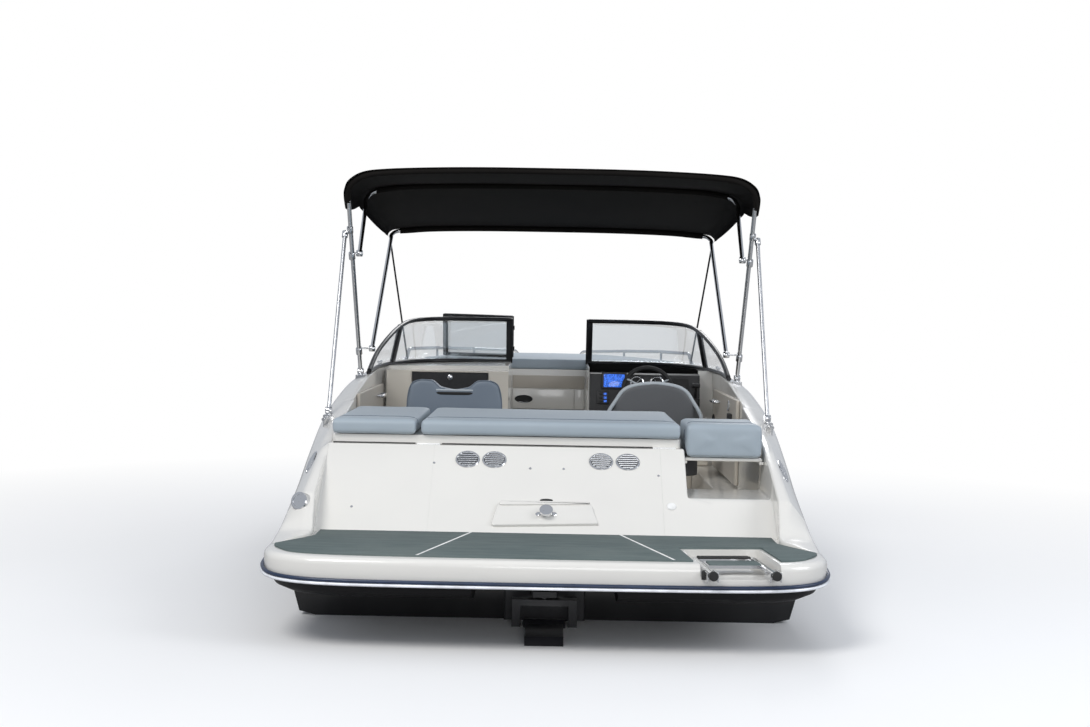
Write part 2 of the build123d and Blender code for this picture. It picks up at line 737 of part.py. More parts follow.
# Gate of the windshield, drawn closed and then swung open over the port section
gate_low = Vector(0, front_foot.Y, front_foot.Z) + lean_dir * gate_lift
gate_top = Vector(0, front_foot.Y, front_foot.Z) + lean_dir * (lean.length + gate_rise)
gate_corners = [gate_low + Vector(-gate_half, 0, 0), gate_low + Vector(gate_half, 0, 0),
                gate_top + Vector(gate_half, 0, 0), gate_top + Vector(-gate_half, 0, 0)]
with BuildPart() as gate_frame:
    for a, b in zip(gate_corners, gate_corners[1:] + gate_corners[:1]):
        add(rod(a, b, gate_bar))
    for joint in gate_corners:
        with Locations(joint):
            Sphere(gate_bar)
    for height in gate_knuckles:
        add(hinge_arm(height + running_gap, height + knuckle_length, gate_stile))
        add(rod(hinge_foot + lean_dir * (height - 5), hinge_foot + lean_dir * (height + knuckle_length + 5),
                gate_pin + pin_gap), mode=Mode.SUBTRACT)
with BuildPart() as gate_glass:
    add(flat_panel(gate_corners, 5))
    add(gate_frame.part, mode=Mode.SUBTRACT)
save("screen_gate_frame", gate_frame.part.rotate(hinge_line, gate_open))
save("screen_gate_glass", largest(gate_glass.part).rotate(hinge_line, gate_open))

# Bow cushions and rails
bow_pad_top = 1108.0
bow_pad_gap = 8.0
bow_pad_aft = bow_bulkhead_y + bow_pad_gap
side_end = bow_well[3][1]
starboard_pad = [(walk_half, bow_pad_aft), (bow_well[0][0] - bow_pad_gap, bow_pad_aft)]
starboard_pad += [(x - bow_pad_gap, y - 4) for x, y in bow_well[:4]]
starboard_pad += [(walk_half, side_end + 40)]
nose = [(walk_half, side_end + 50), (bow_well[3][0] - 13, side_end + 4)]
nose += [(bow_well[4][0] - bow_pad_gap, bow_well[4][1] - 6), (0, bow_well[5][1] - bow_pad_gap)]
with BuildPart() as bow_pads:
    add(both_sides(plan_prism(starboard_pad, bow_base_z, bow_pad_top)))
    add(block(5 - walk_half, walk_half - 5, bow_pad_aft, side_end + 30, bow_base_z, bow_pad_top))
    add(plan_prism(nose + [(-x, y) for x, y in reversed(nose) if x > 0], bow_base_z, bow_pad_top))
save("bow_cushions", bow_pads.part)
rail_tube = 12.5
rail_rise = 85.0
# Columns: share of the room ahead of the bulkhead, distance out from the crown of the deck
bow_rail_table = ((-0.0205, 25), (0.0308, 25), (0.3333, 25), (0.6154, 25), (0.8359, 10), (0.8718, 10))
bow_rail_points = []
for share, out in bow_rail_table:
    y = bow_bulkhead_y + share * bow_room
    shoulder, shoulder_z, crown, crown_z = deck_at(y)
    bow_rail_points.append((crown + out, y, crown_z))
with BuildPart() as bow_rail:
    feet = bow_rail_points
    top = [Vector(*p) + Vector(0, 0, rail_rise) for p in feet[1:-1]]
    rail_ends = [Vector(*p) + Vector(0, 0, 2) for p in (feet[0], feet[-1])]
    add(tube(rail_ends[:1] + top + rail_ends[1:], rail_tube, 60))
    for middle in feet[2:4]:
        add(rod(Vector(*middle) + Vector(0, 0, -8), Vector(*middle) + Vector(0, 0, rail_rise), 9))
    add(deck.part, mode=Mode.SUBTRACT)
save("bow_rails", both_sides(bow_rail.part))

# Folding top: three flat bows, the main one fixed on deck mounts and two support poles
bow_tube = 12.5
main_foot = Vector(half_beam - 83, 2120, round(deck_at(2120)[3]) + 32)
main_crown = Vector(0, 1330, 2225)
leg_dir = (main_crown - Vector(0, main_foot.Y, main_foot.Z)).normalized()
leg_side = Vector(0, leg_dir.Z, -leg_dir.Y)
pin_radius = 5.0
pin_step = 30.0
front_centre = main_foot + leg_dir * 150
middle_centre = main_foot + leg_dir * 830
front_pin = Vector(main_foot.X - 76, front_centre.Y, front_centre.Z) + leg_side * pin_step
middle_pin = Vector(main_foot.X - 40, middle_centre.Y, middle_centre.Z) + leg_side * pin_step
front_crown = Vector(0, 3130, 2000)
middle_crown = Vector(0, 2020, 2196)
eye_half = 14.0
eye_radius = 15.0
# Each bow in its own plane: how far below the crown its side ends, and how far in and down its corner is
bow_drop = {"main": 205.0, "middle": 150.0, "front": 120.0}
corner_in = 105.0
corner_drop = 48.0


def bow(name, foot, crown):
    """Tube from foot to foot over the crown, all in one plane."""
    reach = Vector(0, crown.Y - foot.Y, crown.Z - foot.Z)
    along = reach.normalized()
    half = foot.X
    outline = [(half, reach.length - bow_drop[name]), (half - corner_in, reach.length - corner_drop),
               ((half - corner_in) / 2.2, reach.length)]
    side = [foot] + [Vector(x, foot.Y, foot.Z) + along * out for x, out in outline]
    other = [Vector(-p.X, p.Y, p.Z) for p in reversed(side)]
    radii = [70, 90, 500]
    return tube(side + other, bow_tube, radii + radii[::-1])


save("sun_top_main_bow", bow("main", main_foot, main_crown))


def folding_bow(name, pin, crown):
    """Bow with an eye round its pin at each foot."""
    with BuildPart() as solid:
        add(bow(name, pin, crown))
        add(both_sides(rod(pin - Vector(eye_half, 0, 0), pin + Vector(eye_half, 0, 0), eye_radius)))
        bore = rod(pin - Vector(40, 0, 0), pin + Vector(40, 0, 0), pin_radius + pin_gap)
        add(both_sides(bore), mode=Mode.SUBTRACT)
    return solid.part


save("sun_top_front_bow", folding_bow("front", front_pin, front_crown))
save("sun_top_middle_bow", folding_bow("middle", middle_pin, middle_crown))


def clamp(centre, pin):
    """Collar round the main bow with the pin that a folding bow turns on."""
    with BuildPart() as solid:
        add(rod(centre - leg_dir * 20, centre + leg_dir * 20, 19))
        reach = centre.X - 2
        with BuildSketch(Plane(origin=Vector(reach, centre.Y, centre.Z), x_dir=leg_side, z_dir=(1, 0, 0))):
            with Locations((pin_step / 2 + 4, 0)):
                Rectangle(pin_step + 8, 24)
        extrude(amount=8, both=True)
        add(rod((pin.X - eye_half - 6, pin.Y, pin.Z), (reach, pin.Y, pin.Z), pin_radius))
        add(rod((pin.X - eye_half - 5, pin.Y, pin.Z), (pin.X - eye_half - 1, pin.Y, pin.Z), 9))
        add(rod(centre - leg_dir * 300, centre + leg_dir * 100, bow_tube), mode=Mode.SUBTRACT)
    return solid.part


with BuildPart() as clamps:
    add(both_sides(clamp(front_centre, front_pin)))
    add(both_sides(clamp(middle_centre, middle_pin)))

pole_radius = 11.0
pole_foot = Vector(main_foot.X + 37, 1066, round(deck_at(1066)[3]) + 4)
pole_top = Vector(main_foot.X + 28, 1555, main_foot.Z + 816)
with BuildPart() as poles:
    add(both_sides(rod(pole_foot, pole_top, pole_radius)))
save("sun_top_poles", poles.part)
with BuildPart() as feet:
    for foot, radius in ((main_foot, 15), (pole_foot, 14)):
        add(both_sides(rod((foot.X, foot.Y, foot.Z - 70), (foot.X, foot.Y, foot.Z - 8), radius)))
        add(both_sides(block(foot.X - 26, foot.X + 26, foot.Y - 34, foot.Y + 34, foot.Z - 70, foot.Z - 24)))
        add(both_sides(rod(foot - Vector(17, 0, 0), foot + Vector(17, 0, 0), 19)))
    add(deck.part, mode=Mode.SUBTRACT)
    add(both_sides(rod(main_foot, main_foot + leg_dir * 100, bow_tube)), mode=Mode.SUBTRACT)
    add(poles.part, mode=Mode.SUBTRACT)
pole_dir = (pole_top - pole_foot).normalized()
grip = main_foot + leg_dir * ((pole_top.Y - main_foot.Y) / leg_dir.Y)
with BuildPart() as pole_fittings:
    add(both_sides(rod(pole_top - pole_dir * 30, pole_top + pole_dir * 6, 17)))
    add(both_sides(rod(grip - leg_dir * 18, grip + leg_dir * 18, 18)))
    add(both_sides(rod(grip, pole_top - pole_dir * 12, 8)))
    add(both_sides(rod(grip - leg_dir * 300, grip + leg_dir * 60, bow_tube)), mode=Mode.SUBTRACT)
    add(poles.part, mode=Mode.SUBTRACT)
with BuildPart() as top_fittings:
    for group in (clamps, feet, pole_fittings):
        add(group.part)
save("sun_top_fittings", top_fittings.part)

# Cover over the three bows, and the straps from the front bow to the deck
cover_gap = 5.0
cover_thick = 8.0
cover_half = {"main": main_foot.X + 20, "middle": main_foot.X - 2, "front": main_foot.X - 34}


def cover_band(name, foot, crown, move):
    """Points under the cover and on top of it at one bow, drawn out of its plane by a small move in y."""
    reach = Vector(0, crown.Y - foot.Y, crown.Z - foot.Z)
    along = reach.normalized()
    half = cover_half[name]
    bend = half - corner_in
    lift = bow_tube + cover_gap
    under = [(half, reach.length - bow_drop[name] - 60), (half, reach.length - bow_drop[name] + 40),
             (bend + 12, reach.length - corner_drop + lift), (bend / 2.2, reach.length + lift),
             (0, reach.length + lift + 2)]
    over = [(half + cover_thick, under[0][1]), (half + cover_thick, under[1][1] + 4),
            (bend + 15, under[2][1] + cover_thick), (bend / 2.2, under[3][1] + cover_thick),
            (0, under[4][1] + cover_thick)]
    outline = over + [(-x, out) for x, out in reversed(over[:-1])]
    outline += [(-x, out) for x, out in under[:-1]] + [under[-1]] + list(reversed(under[:-1]))
    base = Vector(0, foot.Y + move, foot.Z)
    return [base + Vector(x, 0, 0) + along * out for x, out in outline]


cover_edge = 20.0
cover_rings = (
    cover_band("main", main_foot, main_crown, -cover_edge),
    cover_band("middle", middle_pin, middle_crown, 0),
    cover_band("front", front_pin, front_crown, cover_edge),
)
with BuildPart() as cover:
    for ring in cover_rings:
        plane = Plane(origin=ring[0], x_dir=(1, 0, 0), z_dir=Vector(1, 0, 0).cross(ring[1] - ring[0]))
        with BuildSketch(plane):
            with BuildLine():
                flat = [plane.to_local_coords(p) for p in ring]
                Polyline(*[(p.X, p.Y) for p in flat], close=True)
            make_face()
    loft(ruled=True)
save("sun_top_cover", cover.part)
front_dir = Vector(0, front_crown.Y - front_pin.Y, front_crown.Z - front_pin.Z)
front_along = front_dir.normalized()
front_side = Vector(0, front_along.Z, -front_along.Y)
strap_top = front_pin + front_along * (front_dir.length - 150) + front_side * (bow_tube + 0.5)
strap_y = 3440.0
strap_foot = Vector(deck_at(strap_y)[2] - 20, strap_y, deck_at(strap_y)[3] + 1)
with BuildPart() as straps:
    half_strap = Vector(12.5, 0, 0)
    add(both_sides(flat_panel([strap_foot - half_strap, strap_foot + half_strap, strap_top + half_strap,
                               strap_top - half_strap], 2.4)))
save("sun_top_straps", straps.part)

# Boarding ladder, in its own frame at the hinge: +Y runs forward along the stowed rails
rail_x = 134.0
# Tubes. Columns: outer radius, bore radius, start, end
upper_tube = (16.0, 13.2, 30.0, 350.0)
middle_tube = (12.6, 10.2, 45.0, 388.0)
lower_tube = (9.6, 0.0, 60.0, 420.0)
hinge_bar = 6.0


def ladder_rail(x, row):
    """One tube of the ladder, open at its far end."""
    outer, bore, start, end = row
    with BuildPart() as solid:
        add(rod((x, start, 0), (x, end, 0), outer))
        if bore:
            add(rod((x, start + 8, 0), (x, end + 1, 0), bore), mode=Mode.SUBTRACT)
    return solid.part


with BuildPart() as ladder_upper:
    for x in (-rail_x, rail_x):
        add(ladder_rail(x, upper_tube))
        add(rod((x, -10, 0), (x, 31, 0), 16))
        add(rod((x - 40, 0, 0), (x + 40, 0, 0), hinge_bar + pin_gap), mode=Mode.SUBTRACT)
    add(block(-rail_x + 13, rail_x - 13, 150, 250, 2, 16))
    for x in (-rail_x, rail_x):
        add(rod((x, -28, 0), (x, -10, 0), 19))
save("ladder_upper", ladder_place * ladder_upper.part)
tread_z = (-9, 9)
with BuildPart() as ladder_middle:
    for x in (-rail_x, rail_x):
        add(ladder_rail(x, middle_tube))
    add(block(-rail_x + 10.5, rail_x - 10.5, 356, 384, *tread_z))
save("ladder_middle", ladder_place * ladder_middle.part)
with BuildPart() as ladder_lower:
    for x in (-rail_x, rail_x):
        add(ladder_rail(x, lower_tube))
    add(block(-rail_x, rail_x, 394, 420, *tread_z))
save("ladder_lower", ladder_place * ladder_lower.part)
with BuildPart() as ladder_brackets:
    for x in (-rail_x, rail_x):
        for side in (-1, 1):
            ear = x + side * 22
            add(block(ear - 3, ear + 3, -12, 92, recess_floor - ladder_hinge.Z, 12))
        add(block(x - 24, x + 24, 62, 92, recess_floor - ladder_hinge.Z, recess_floor - ladder_hinge.Z + 5))
        add(rod((x - 25, 0, 0), (x + 25, 0, 0), hinge_bar))
save("ladder_brackets", ladder_place * ladder_brackets.part)

# Stern drive: housing on the transom, steering ring, drive leg, propeller and trim rams
steer_y = -180.0
trim_axis = (steer_y, -20.0)
steer_pin = 14.0
# Trim rams: pin on the leg, play of the rod's eye round it, and the two ends (distance forward, height)
ram_pin = 12.0
ram_play = 7.0
ram_x = 178.0
ram_foot_place = (steer_y + 5, -205.0)
ram_eye_place = (-560.0, -90.0)
with BuildPart() as gimbal:
    add(block(-190, 190, transom_y - 26, transom_y, -285, 165))
    for z_low, z_high in ((134, 165), (-285, -252)):
        add(block(-60, 60, -215, transom_y, z_low, z_high))
    add(rod((0, steer_y, -400), (0, steer_y, 300), steer_pin + pin_gap), mode=Mode.SUBTRACT)
save("gimbal_housing", gimbal.part)
ring_half = 150.0
ring_inner = 110.0
with BuildPart() as steer_ring:
    add(block(-ring_half, ring_half, steer_y - 30, steer_y + 30, -244, 126))
    add(block(-ring_inner, ring_inner, steer_y - 31, steer_y + 31, -190, 96), mode=Mode.SUBTRACT)
    add(rod((0, steer_y, 96), (0, steer_y, 160), steer_pin))
    add(rod((0, steer_y, -280), (0, steer_y, -190), steer_pin))
    trim_bore = rod((-ring_half - 1, *trim_axis), (ring_half + 1, *trim_axis), steer_pin + pin_gap)
    add(trim_bore, mode=Mode.SUBTRACT)
    # Pins of the trim rams
    for side in (-1, 1):
        add(rod((side * (ring_half - 1), *ram_foot_place), (side * 208, *ram_foot_place), 11))
save("steering_ring", steer_ring.part)
prop_z = -620.0
with BuildPart() as leg:
    add(rod((-98, *trim_axis), (98, *trim_axis), 52))
    add(block(-70, 70, -270, steer_y - 10, -70, 12))
    add(side_prism([(-262, 14), (-330, 40), (-560, 32), (-640, -30), (-655, -150), (-620, -300), (-262, -300),
                    (-262, -75)], -85, 85))
    add(side_prism([(-290, -290), (-640, -290), (-600, -620), (-330, -620)], -38, 38))
    add(block(-135, 135, -780, -290, -372, -360))
    add(rod((0, -310, prop_z), (0, -640, prop_z), 52))
    add(side_prism([(-330, prop_z), (-600, prop_z), (-610, -850), (-500, -850)], -7, 7))
    add(rod((-150, *trim_axis), (150, *trim_axis), steer_pin))
    for side in (-1, 1):
        add(rod((side * 80, *ram_eye_place), (side * 208, *ram_eye_place), ram_pin))
    add(rod((0, -639, prop_z), (0, -705, prop_z), 14))
save("drive_leg", leg.part)

blade_count = 3
with BuildPart() as propeller:
    add(rod((0, -648, prop_z), (0, -768, prop_z), 46))
    for turn in range(blade_count):
        angle = radians(90 + turn * 360 / blade_count)
        out = Vector(cos(angle), 0, sin(angle))
        across = Vector(-sin(angle), 0, cos(angle))
        root = Vector(0, -708, prop_z) + out * 40
        pitch = across * 45 + Vector(0, 38, 0)
        tip = across * 78 + Vector(0, 36, 0)
        far = Vector(0, -708, prop_z) + out * 182
        mid = Vector(0, -708, prop_z) + out * 120
        add(flat_panel([root - pitch, root + pitch, mid + tip, far, mid - tip], 7))
    add(rod((0, -600, prop_z), (0, -800, prop_z), 14 + pin_gap), mode=Mode.SUBTRACT)
save("propeller", propeller.part)

ram_foot = Vector(0, *ram_foot_place)
ram_eye = Vector(0, *ram_eye_place)
ram_dir = (ram_eye - ram_foot).normalized()
with BuildPart() as ram_tubes:
    for side in (-1, 1):
        base = ram_foot + Vector(side * ram_x, 0, 0)
        add(rod(base - Vector(13, 0, 0), base + Vector(13, 0, 0), 22))
        add(rod(base + ram_dir * 15, base + ram_dir * 258, 23))
        add(rod(base + ram_dir * 120, base + ram_dir * 260, 10.2), mode=Mode.SUBTRACT)
        add(rod(base - Vector(40, 0, 0), base + Vector(40, 0, 0), 11 + pin_gap), mode=Mode.SUBTRACT)
save("trim_ram_cylinders", ram_tubes.part)
with BuildPart() as ram_rods:
    for side in (-1, 1):
        base = ram_foot + Vector(side * ram_x, 0, 0)
        eye = ram_eye + Vector(side * ram_x, 0, 0)
        add(rod(base + ram_dir * 132, eye, 10))
        add(rod(eye - Vector(13, 0, 0), eye + Vector(13, 0, 0), ram_pin + ram_play + 9))
        add(rod(eye - Vector(40, 0, 0), eye + Vector(40, 0, 0), ram_pin + ram_play), mode=Mode.SUBTRACT)
save("trim_ram_rods", ram_rods.part)

# Fittings: transom vents, tow eye, underwater lights, cleats, bow light and bow eye
face_slope = Vector(0, transom_top_y - transom_y, pad_base_z - platform_top).normalized()


def face_plane(x, z, out=0.0):
    """Plane on the sloping transom face, with its own x to starboard and y up the slope."""
    share = (z - platform_top) / (pad_base_z - platform_top)
    y = transom_y + share * (transom_top_y - transom_y)
    normal = Vector(0, -face_slope.Z, face_slope.Y)
    return Plane(origin=Vector(x, y, z) + normal * out, x_dir=(1, 0, 0), z_dir=normal)


vent_z = pad_base_z - 63
with BuildPart() as vents:
    for x in (-392, -260, 266, 398):
        with BuildSketch(face_plane(x, vent_z)):
            Ellipse(60, 56)
        extrude(amount=5)
save("transom_vents", vents.part)
with BuildPart() as tow_eye:
    with BuildSketch(face_plane(0, 474)):
        Ellipse(46, 24)
    extrude(amount=6)
    with BuildSketch(face_plane(0, 474, 5)):
        Circle(16)
    extrude(amount=34)
    with BuildSketch(face_plane(0, 474, 38)):
        Circle(32)
    extrude(amount=12)
save("tow_eye", tow_eye.part)
with BuildPart() as lights:
    for x in (-445, 400):
        add(rod((x, transom_y, -60), (x, transom_y - 14, -60), 42))
save("underwater_lights", lights.part)


def cleat(x, y, z):
    """Horn cleat on two legs."""
    with BuildPart() as solid:
        add(rod((x, y - 75, z + 34), (x, y + 75, z + 34), 9))
        for step in (-24, 24):
            add(rod((x, y + step, z - 20), (x, y + step, z + 34), 8))
    return solid.part


cleat_places = []
for y in (900, 2950, at_length(0.9)):
    shoulder, shoulder_z, crown, crown_z = deck_at(y)
    cleat_places.append(((shoulder + crown) / 2, y, (shoulder_z + crown_z) / 2 + 2))
with BuildPart() as cleats:
    for place in cleat_places:
        add(both_sides(cleat(*place)))
    add(deck.part, mode=Mode.SUBTRACT)
save("cleats", cleats.part)
# Eye on the stem for a trailer winch. Columns: distance forward, height
bow_eye = ((bow_y - 120, 480), (bow_y - 38, 462), (bow_y - 68, 392), (bow_y - 150, 410))
bow_light_y = bow_y - 220
with BuildPart() as bow_fittings:
    add(rod((0, bow_light_y, 990), (0, bow_light_y, 1058), 30))
    add(tube([(0, y, z) for y, z in bow_eye], 7, 25))
    add(deck.part, mode=Mode.SUBTRACT)
    add(hull.part, mode=Mode.SUBTRACT)
save("bow_fittings", bow_fittings.part)
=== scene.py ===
# %% [markdown]
# An open speedboat afloat, seen from astern: a white deck on a black hull, a grey foam platform,
# blue-grey sun pads, a black sun top on steel bows and a low black windscreen.
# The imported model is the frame. Everything made here is laid around it, in metres, with +Y to the bow,
# +X to starboard and +Z up from the waterline.

# %% Load the frame
from math import atan2, cos, pi, radians, sin, sqrt, tau

import bmesh
import bpy
import numpy as np
from mathutils import Matrix, Vector
from mathutils.bvhtree import BVHTree


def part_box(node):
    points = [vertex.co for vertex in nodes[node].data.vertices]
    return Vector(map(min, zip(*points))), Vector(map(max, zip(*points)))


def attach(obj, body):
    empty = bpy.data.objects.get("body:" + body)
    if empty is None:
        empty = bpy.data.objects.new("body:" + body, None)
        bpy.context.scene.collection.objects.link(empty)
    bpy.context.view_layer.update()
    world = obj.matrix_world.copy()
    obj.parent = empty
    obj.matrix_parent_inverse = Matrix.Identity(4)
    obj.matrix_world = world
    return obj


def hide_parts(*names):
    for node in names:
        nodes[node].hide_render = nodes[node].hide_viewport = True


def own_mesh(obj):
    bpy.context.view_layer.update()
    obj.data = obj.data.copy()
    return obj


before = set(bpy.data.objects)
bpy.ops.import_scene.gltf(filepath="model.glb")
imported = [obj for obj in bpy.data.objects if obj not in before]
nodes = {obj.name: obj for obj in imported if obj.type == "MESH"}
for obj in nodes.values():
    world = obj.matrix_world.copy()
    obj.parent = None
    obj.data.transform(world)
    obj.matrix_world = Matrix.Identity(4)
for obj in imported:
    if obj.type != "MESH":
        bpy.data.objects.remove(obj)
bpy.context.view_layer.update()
scene = bpy.context.scene

# %% [markdown]
# The moulded parts are drawn from short tables of stations along the boat, the way a hull is lofted.
# Straight runs between stations would show as flats in the gloss, so a smooth curve goes through each column.


# %% Smooth curves through tables and points
def through(rows, at):
    """Each column of a table at a place along its first column, on a smooth curve that doesn't overshoot."""
    rows = np.array(rows, float)
    x, values = rows[:, 0], rows[:, 1:]
    steps = np.diff(x)[:, None]
    slopes = np.diff(values, axis=0) / steps
    inner = np.where(slopes[1:] * slopes[:-1] > 0,
                     2 * slopes[1:] * slopes[:-1] / (slopes[1:] + slopes[:-1] + 1e-12), 0)
    tangents = np.vstack([slopes[:1], inner, slopes[-1:]])
    k = int(np.clip(np.searchsorted(x, at) - 1, 0, len(x) - 2))
    h = x[k + 1] - x[k]
    t = min(max((at - x[k]) / h, 0), 1)
    return ((2 * t**3 - 3 * t**2 + 1) * values[k] + (t**3 - 2 * t**2 + t) * h * tangents[k]
            + (3 * t**2 - 2 * t**3) * values[k + 1] + (t**3 - t**2) * h * tangents[k + 1])


def smooth_path(points, steps):
    """Points on a curve through the given ones."""
    pts = [np.array(p, float) for p in points]
    last = len(pts) - 1
    out = []
    for i in range(last):
        a, b, c, d = (pts[min(max(i + k, 0), last)] for k in (-1, 0, 1, 2))
        for s in range(steps):
            t = s / steps
            out.append(0.5 * (2 * b + (c - a) * t + (2 * a - 5 * b + 4 * c - d) * t**2
                              + (3 * b - a - 3 * c + d) * t**3))
    return out + [pts[-1]]


def rounded(points, radii, steps):
    """An open outline with each inner corner rounded. A radius is cut to what its two runs allow."""
    pts = [np.array(p, float) for p in points]
    out = [pts[0]]
    for i in range(1, len(pts) - 1):
        back, ahead = pts[i - 1] - pts[i], pts[i + 1] - pts[i]
        size = min(radii[i - 1], 0.45 * np.linalg.norm(back), 0.45 * np.linalg.norm(ahead))
        start = pts[i] + back / (np.linalg.norm(back) + 1e-12) * size
        end = pts[i] + ahead / (np.linalg.norm(ahead) + 1e-12) * size
        for s in range(steps + 1):
            t = s / steps
            out.append((1 - t) ** 2 * start + 2 * t * (1 - t) * pts[i] + t**2 * end)
    return out + [pts[-1]]


def steps_between(low, high, count):
    """Evenly spaced values, both ends included."""
    return [low + (high - low) * k / count for k in range(count + 1)]


# %% [markdown]
# Every piece made here goes through two functions. One builds the mesh, cleans it and turns its faces
# outward. The other gives it its material, smooth shading that keeps hard edges, and a body to ride on.


# %% Making pieces
def finish_piece(obj, material, body="root", angle=32.0, stands_for=()):
    """Shading, material, body and the part that the piece stands for."""
    obj.data.materials.clear()
    obj.data.materials.append(material)
    for face in obj.data.polygons:
        face.use_smooth = True
    obj.data.set_sharp_from_angle(angle=radians(angle))
    if stands_for:
        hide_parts(*stands_for)
    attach(obj, body)
    return obj


def placed(name, mesh):
    """A mesh as an object of the scene."""
    obj = bpy.data.objects.new(name, mesh)
    scene.collection.objects.link(obj)
    return obj


def placed_bmesh(name, bm):
    mesh = bpy.data.meshes.new(name)
    bm.to_mesh(mesh)
    bm.free()
    return placed(name, mesh)


def applied(obj):
    """The piece's mesh with its modifiers applied."""
    bpy.context.view_layer.update()
    return bpy.data.meshes.new_from_object(obj.evaluated_get(bpy.context.evaluated_depsgraph_get()))


def apply_modifiers(obj):
    obj.data = applied(obj)
    obj.modifiers.clear()


def new_mesh(name, verts, faces):
    """A mesh object from points and faces, with doubles merged and normals outward."""
    bm = bmesh.new()
    made = [bm.verts.new([float(x) for x in v]) for v in verts]
    for face in faces:
        if len(set(face)) > 2:
            try:
                bm.faces.new([made[i] for i in face])
            except ValueError:
                pass
    bmesh.ops.remove_doubles(bm, verts=bm.verts, dist=2e-5)
    bmesh.ops.dissolve_degenerate(bm, edges=bm.edges, dist=1e-5)
    bmesh.ops.recalc_face_normals(bm, faces=bm.faces)
    return placed_bmesh(name, bm)


def skin_faces(rows, count, closed=False, offset=0):
    """Quads between neighbouring rows of points."""
    faces = []
    for r in range(rows - 1):
        for c in range(count if closed else count - 1):
            a, b = offset + r * count + c, offset + r * count + (c + 1) % count
            faces.append((a, b, b + count, a + count))
    return faces


def skin(name, rows, closed=False, ends=False):
    """A surface through rows of points that each have as many points."""
    count = len(rows[0])
    verts = [v for row in rows for v in row]
    faces = skin_faces(len(rows), count, closed)
    if ends:
        faces.append(tuple(range(count)))
        faces.append(tuple(range((len(rows) - 1) * count, len(rows) * count)))
    return new_mesh(name, verts, faces)


def bar(name, points, radius, material, body="root", sides=14, closed=False, stands_for=(),
        flat=1.0):
    """A round or flattened bar along points, capped at its ends."""
    pts = [Vector(p) for p in points]
    rows = []
    side = None
    count = len(pts)
    for i, p in enumerate(pts):
        ahead = pts[(i + 1) % count] if closed or i + 1 < count else p
        behind = pts[i - 1] if closed or i else p
        run = (ahead - behind).normalized()
        if side is None:
            side = (run.orthogonal() if abs(run.z) > 0.9 else run.cross(Vector((0, 0, 1)))).normalized()
        side = (side - run * side.dot(run)).normalized()
        up = side.cross(run)
        size = radius[i] if isinstance(radius, (list, tuple)) else radius
        rows.append([p + side * cos(tau * k / sides) * size + up * sin(tau * k / sides) * size * flat
                     for k in range(sides)])
    if closed:
        rows.append(rows[0])
    obj = skin(name, rows, closed=True, ends=not closed)
    return finish_piece(obj, material, body, 50, stands_for)


def join(name, objects, stands_for=()):
    """Several pieces of one body as one object."""
    bpy.ops.object.select_all(action="DESELECT")
    for obj in objects:
        obj.select_set(True)
    joined = objects[0]
    bpy.context.view_layer.objects.active = joined
    bpy.ops.object.join()
    joined.name = name
    joined.data.name = name
    if stands_for:
        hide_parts(*stands_for)


def box_bmesh(low, high, inset=0.0):
    """A plain box between two corners, drawn in on every side."""
    bm = bmesh.new()
    bmesh.ops.create_cube(bm, size=1)
    for v in bm.verts:
        v.co = Vector(((low[i] + high[i]) / 2 + v.co[i] * (high[i] - low[i] - 2 * inset)) for i in range(3))
    return bm


def block(name, low, high, radius, material, body="root", turn=None):
    """A box with rounded edges."""
    low, high = Vector(low), Vector(high)
    bm = box_bmesh(low, high)
    bmesh.ops.bevel(bm, geom=bm.edges[:], offset=min(radius, 0.49 * min(high - low)), segments=3, profile=0.5,
                    affect="EDGES")
    if turn:
        bmesh.ops.transform(bm, matrix=turn, verts=bm.verts)
    return finish_piece(placed_bmesh(name, bm), material, body, 40)


def disc(name, centre, normal, rings, material, body="root", sides=32, squeeze=1.0, x_dir=None):
    """A turned piece from (radius, height) pairs along its normal; squeeze flattens its second axis."""
    normal = Vector(normal).normalized()
    x_dir = Vector(x_dir).normalized() if x_dir is not None else normal.orthogonal().normalized()
    y_dir = normal.cross(x_dir)
    turns = [tau * k / sides for k in range(sides)]
    rows = [[Vector(centre) + normal * h + x_dir * cos(turn) * r + y_dir * sin(turn) * r * squeeze
             for turn in turns] for r, h in rings]
    obj = skin(name, rows, closed=True, ends=True)
    return finish_piece(obj, material, body, 35)


def outward(pts, i):
    """The direction out of a closed outline at one of its points."""
    run = pts[(i + 1) % len(pts)] - pts[i - 1]
    return np.array([run[1], -run[0]]) / (np.linalg.norm(run) + 1e-12)


def plate(name, outline, z_low, z_high, edge, material, body="root", stands_for=()):
    """A flat plate from an (x, y) outline, with a rounded upper edge."""
    pts = [np.array(p[:2], float) for p in outline]

    def ring(inset, z):
        return [(*(p - outward(pts, i) * inset), z) for i, p in enumerate(pts)]

    area = sum(a[0] * b[1] - b[0] * a[1] for a, b in zip(pts, pts[1:] + pts[:1]))
    if area < 0:
        pts = pts[::-1]
    rows = [ring(0, z_low), ring(0, z_high - edge), ring(edge * 0.3, z_high - edge * 0.3), ring(edge, z_high)]
    obj = skin(name, rows, closed=True, ends=True)
    return finish_piece(obj, material, body, 40, stands_for)


def thicken(obj, thickness, offset):
    thick = obj.modifiers.new("thick", "SOLIDIFY")
    thick.thickness, thick.offset = thickness, offset


def cut(target, cutter):
    """Takes the cutter's shape out of the target for good."""
    modifier = target.modifiers.new("cut", "BOOLEAN")
    modifier.operation = "DIFFERENCE"
    modifier.solver = "EXACT"
    modifier.object = cutter
    apply_modifiers(target)
    bpy.data.objects.remove(cutter)
    return target


# %% [markdown]
# Shader maths reads best as plain expressions, so a small class wraps a socket and adds the Math nodes behind
# Python's own operators. Any other node comes from one method that sets its options first, its sockets next.


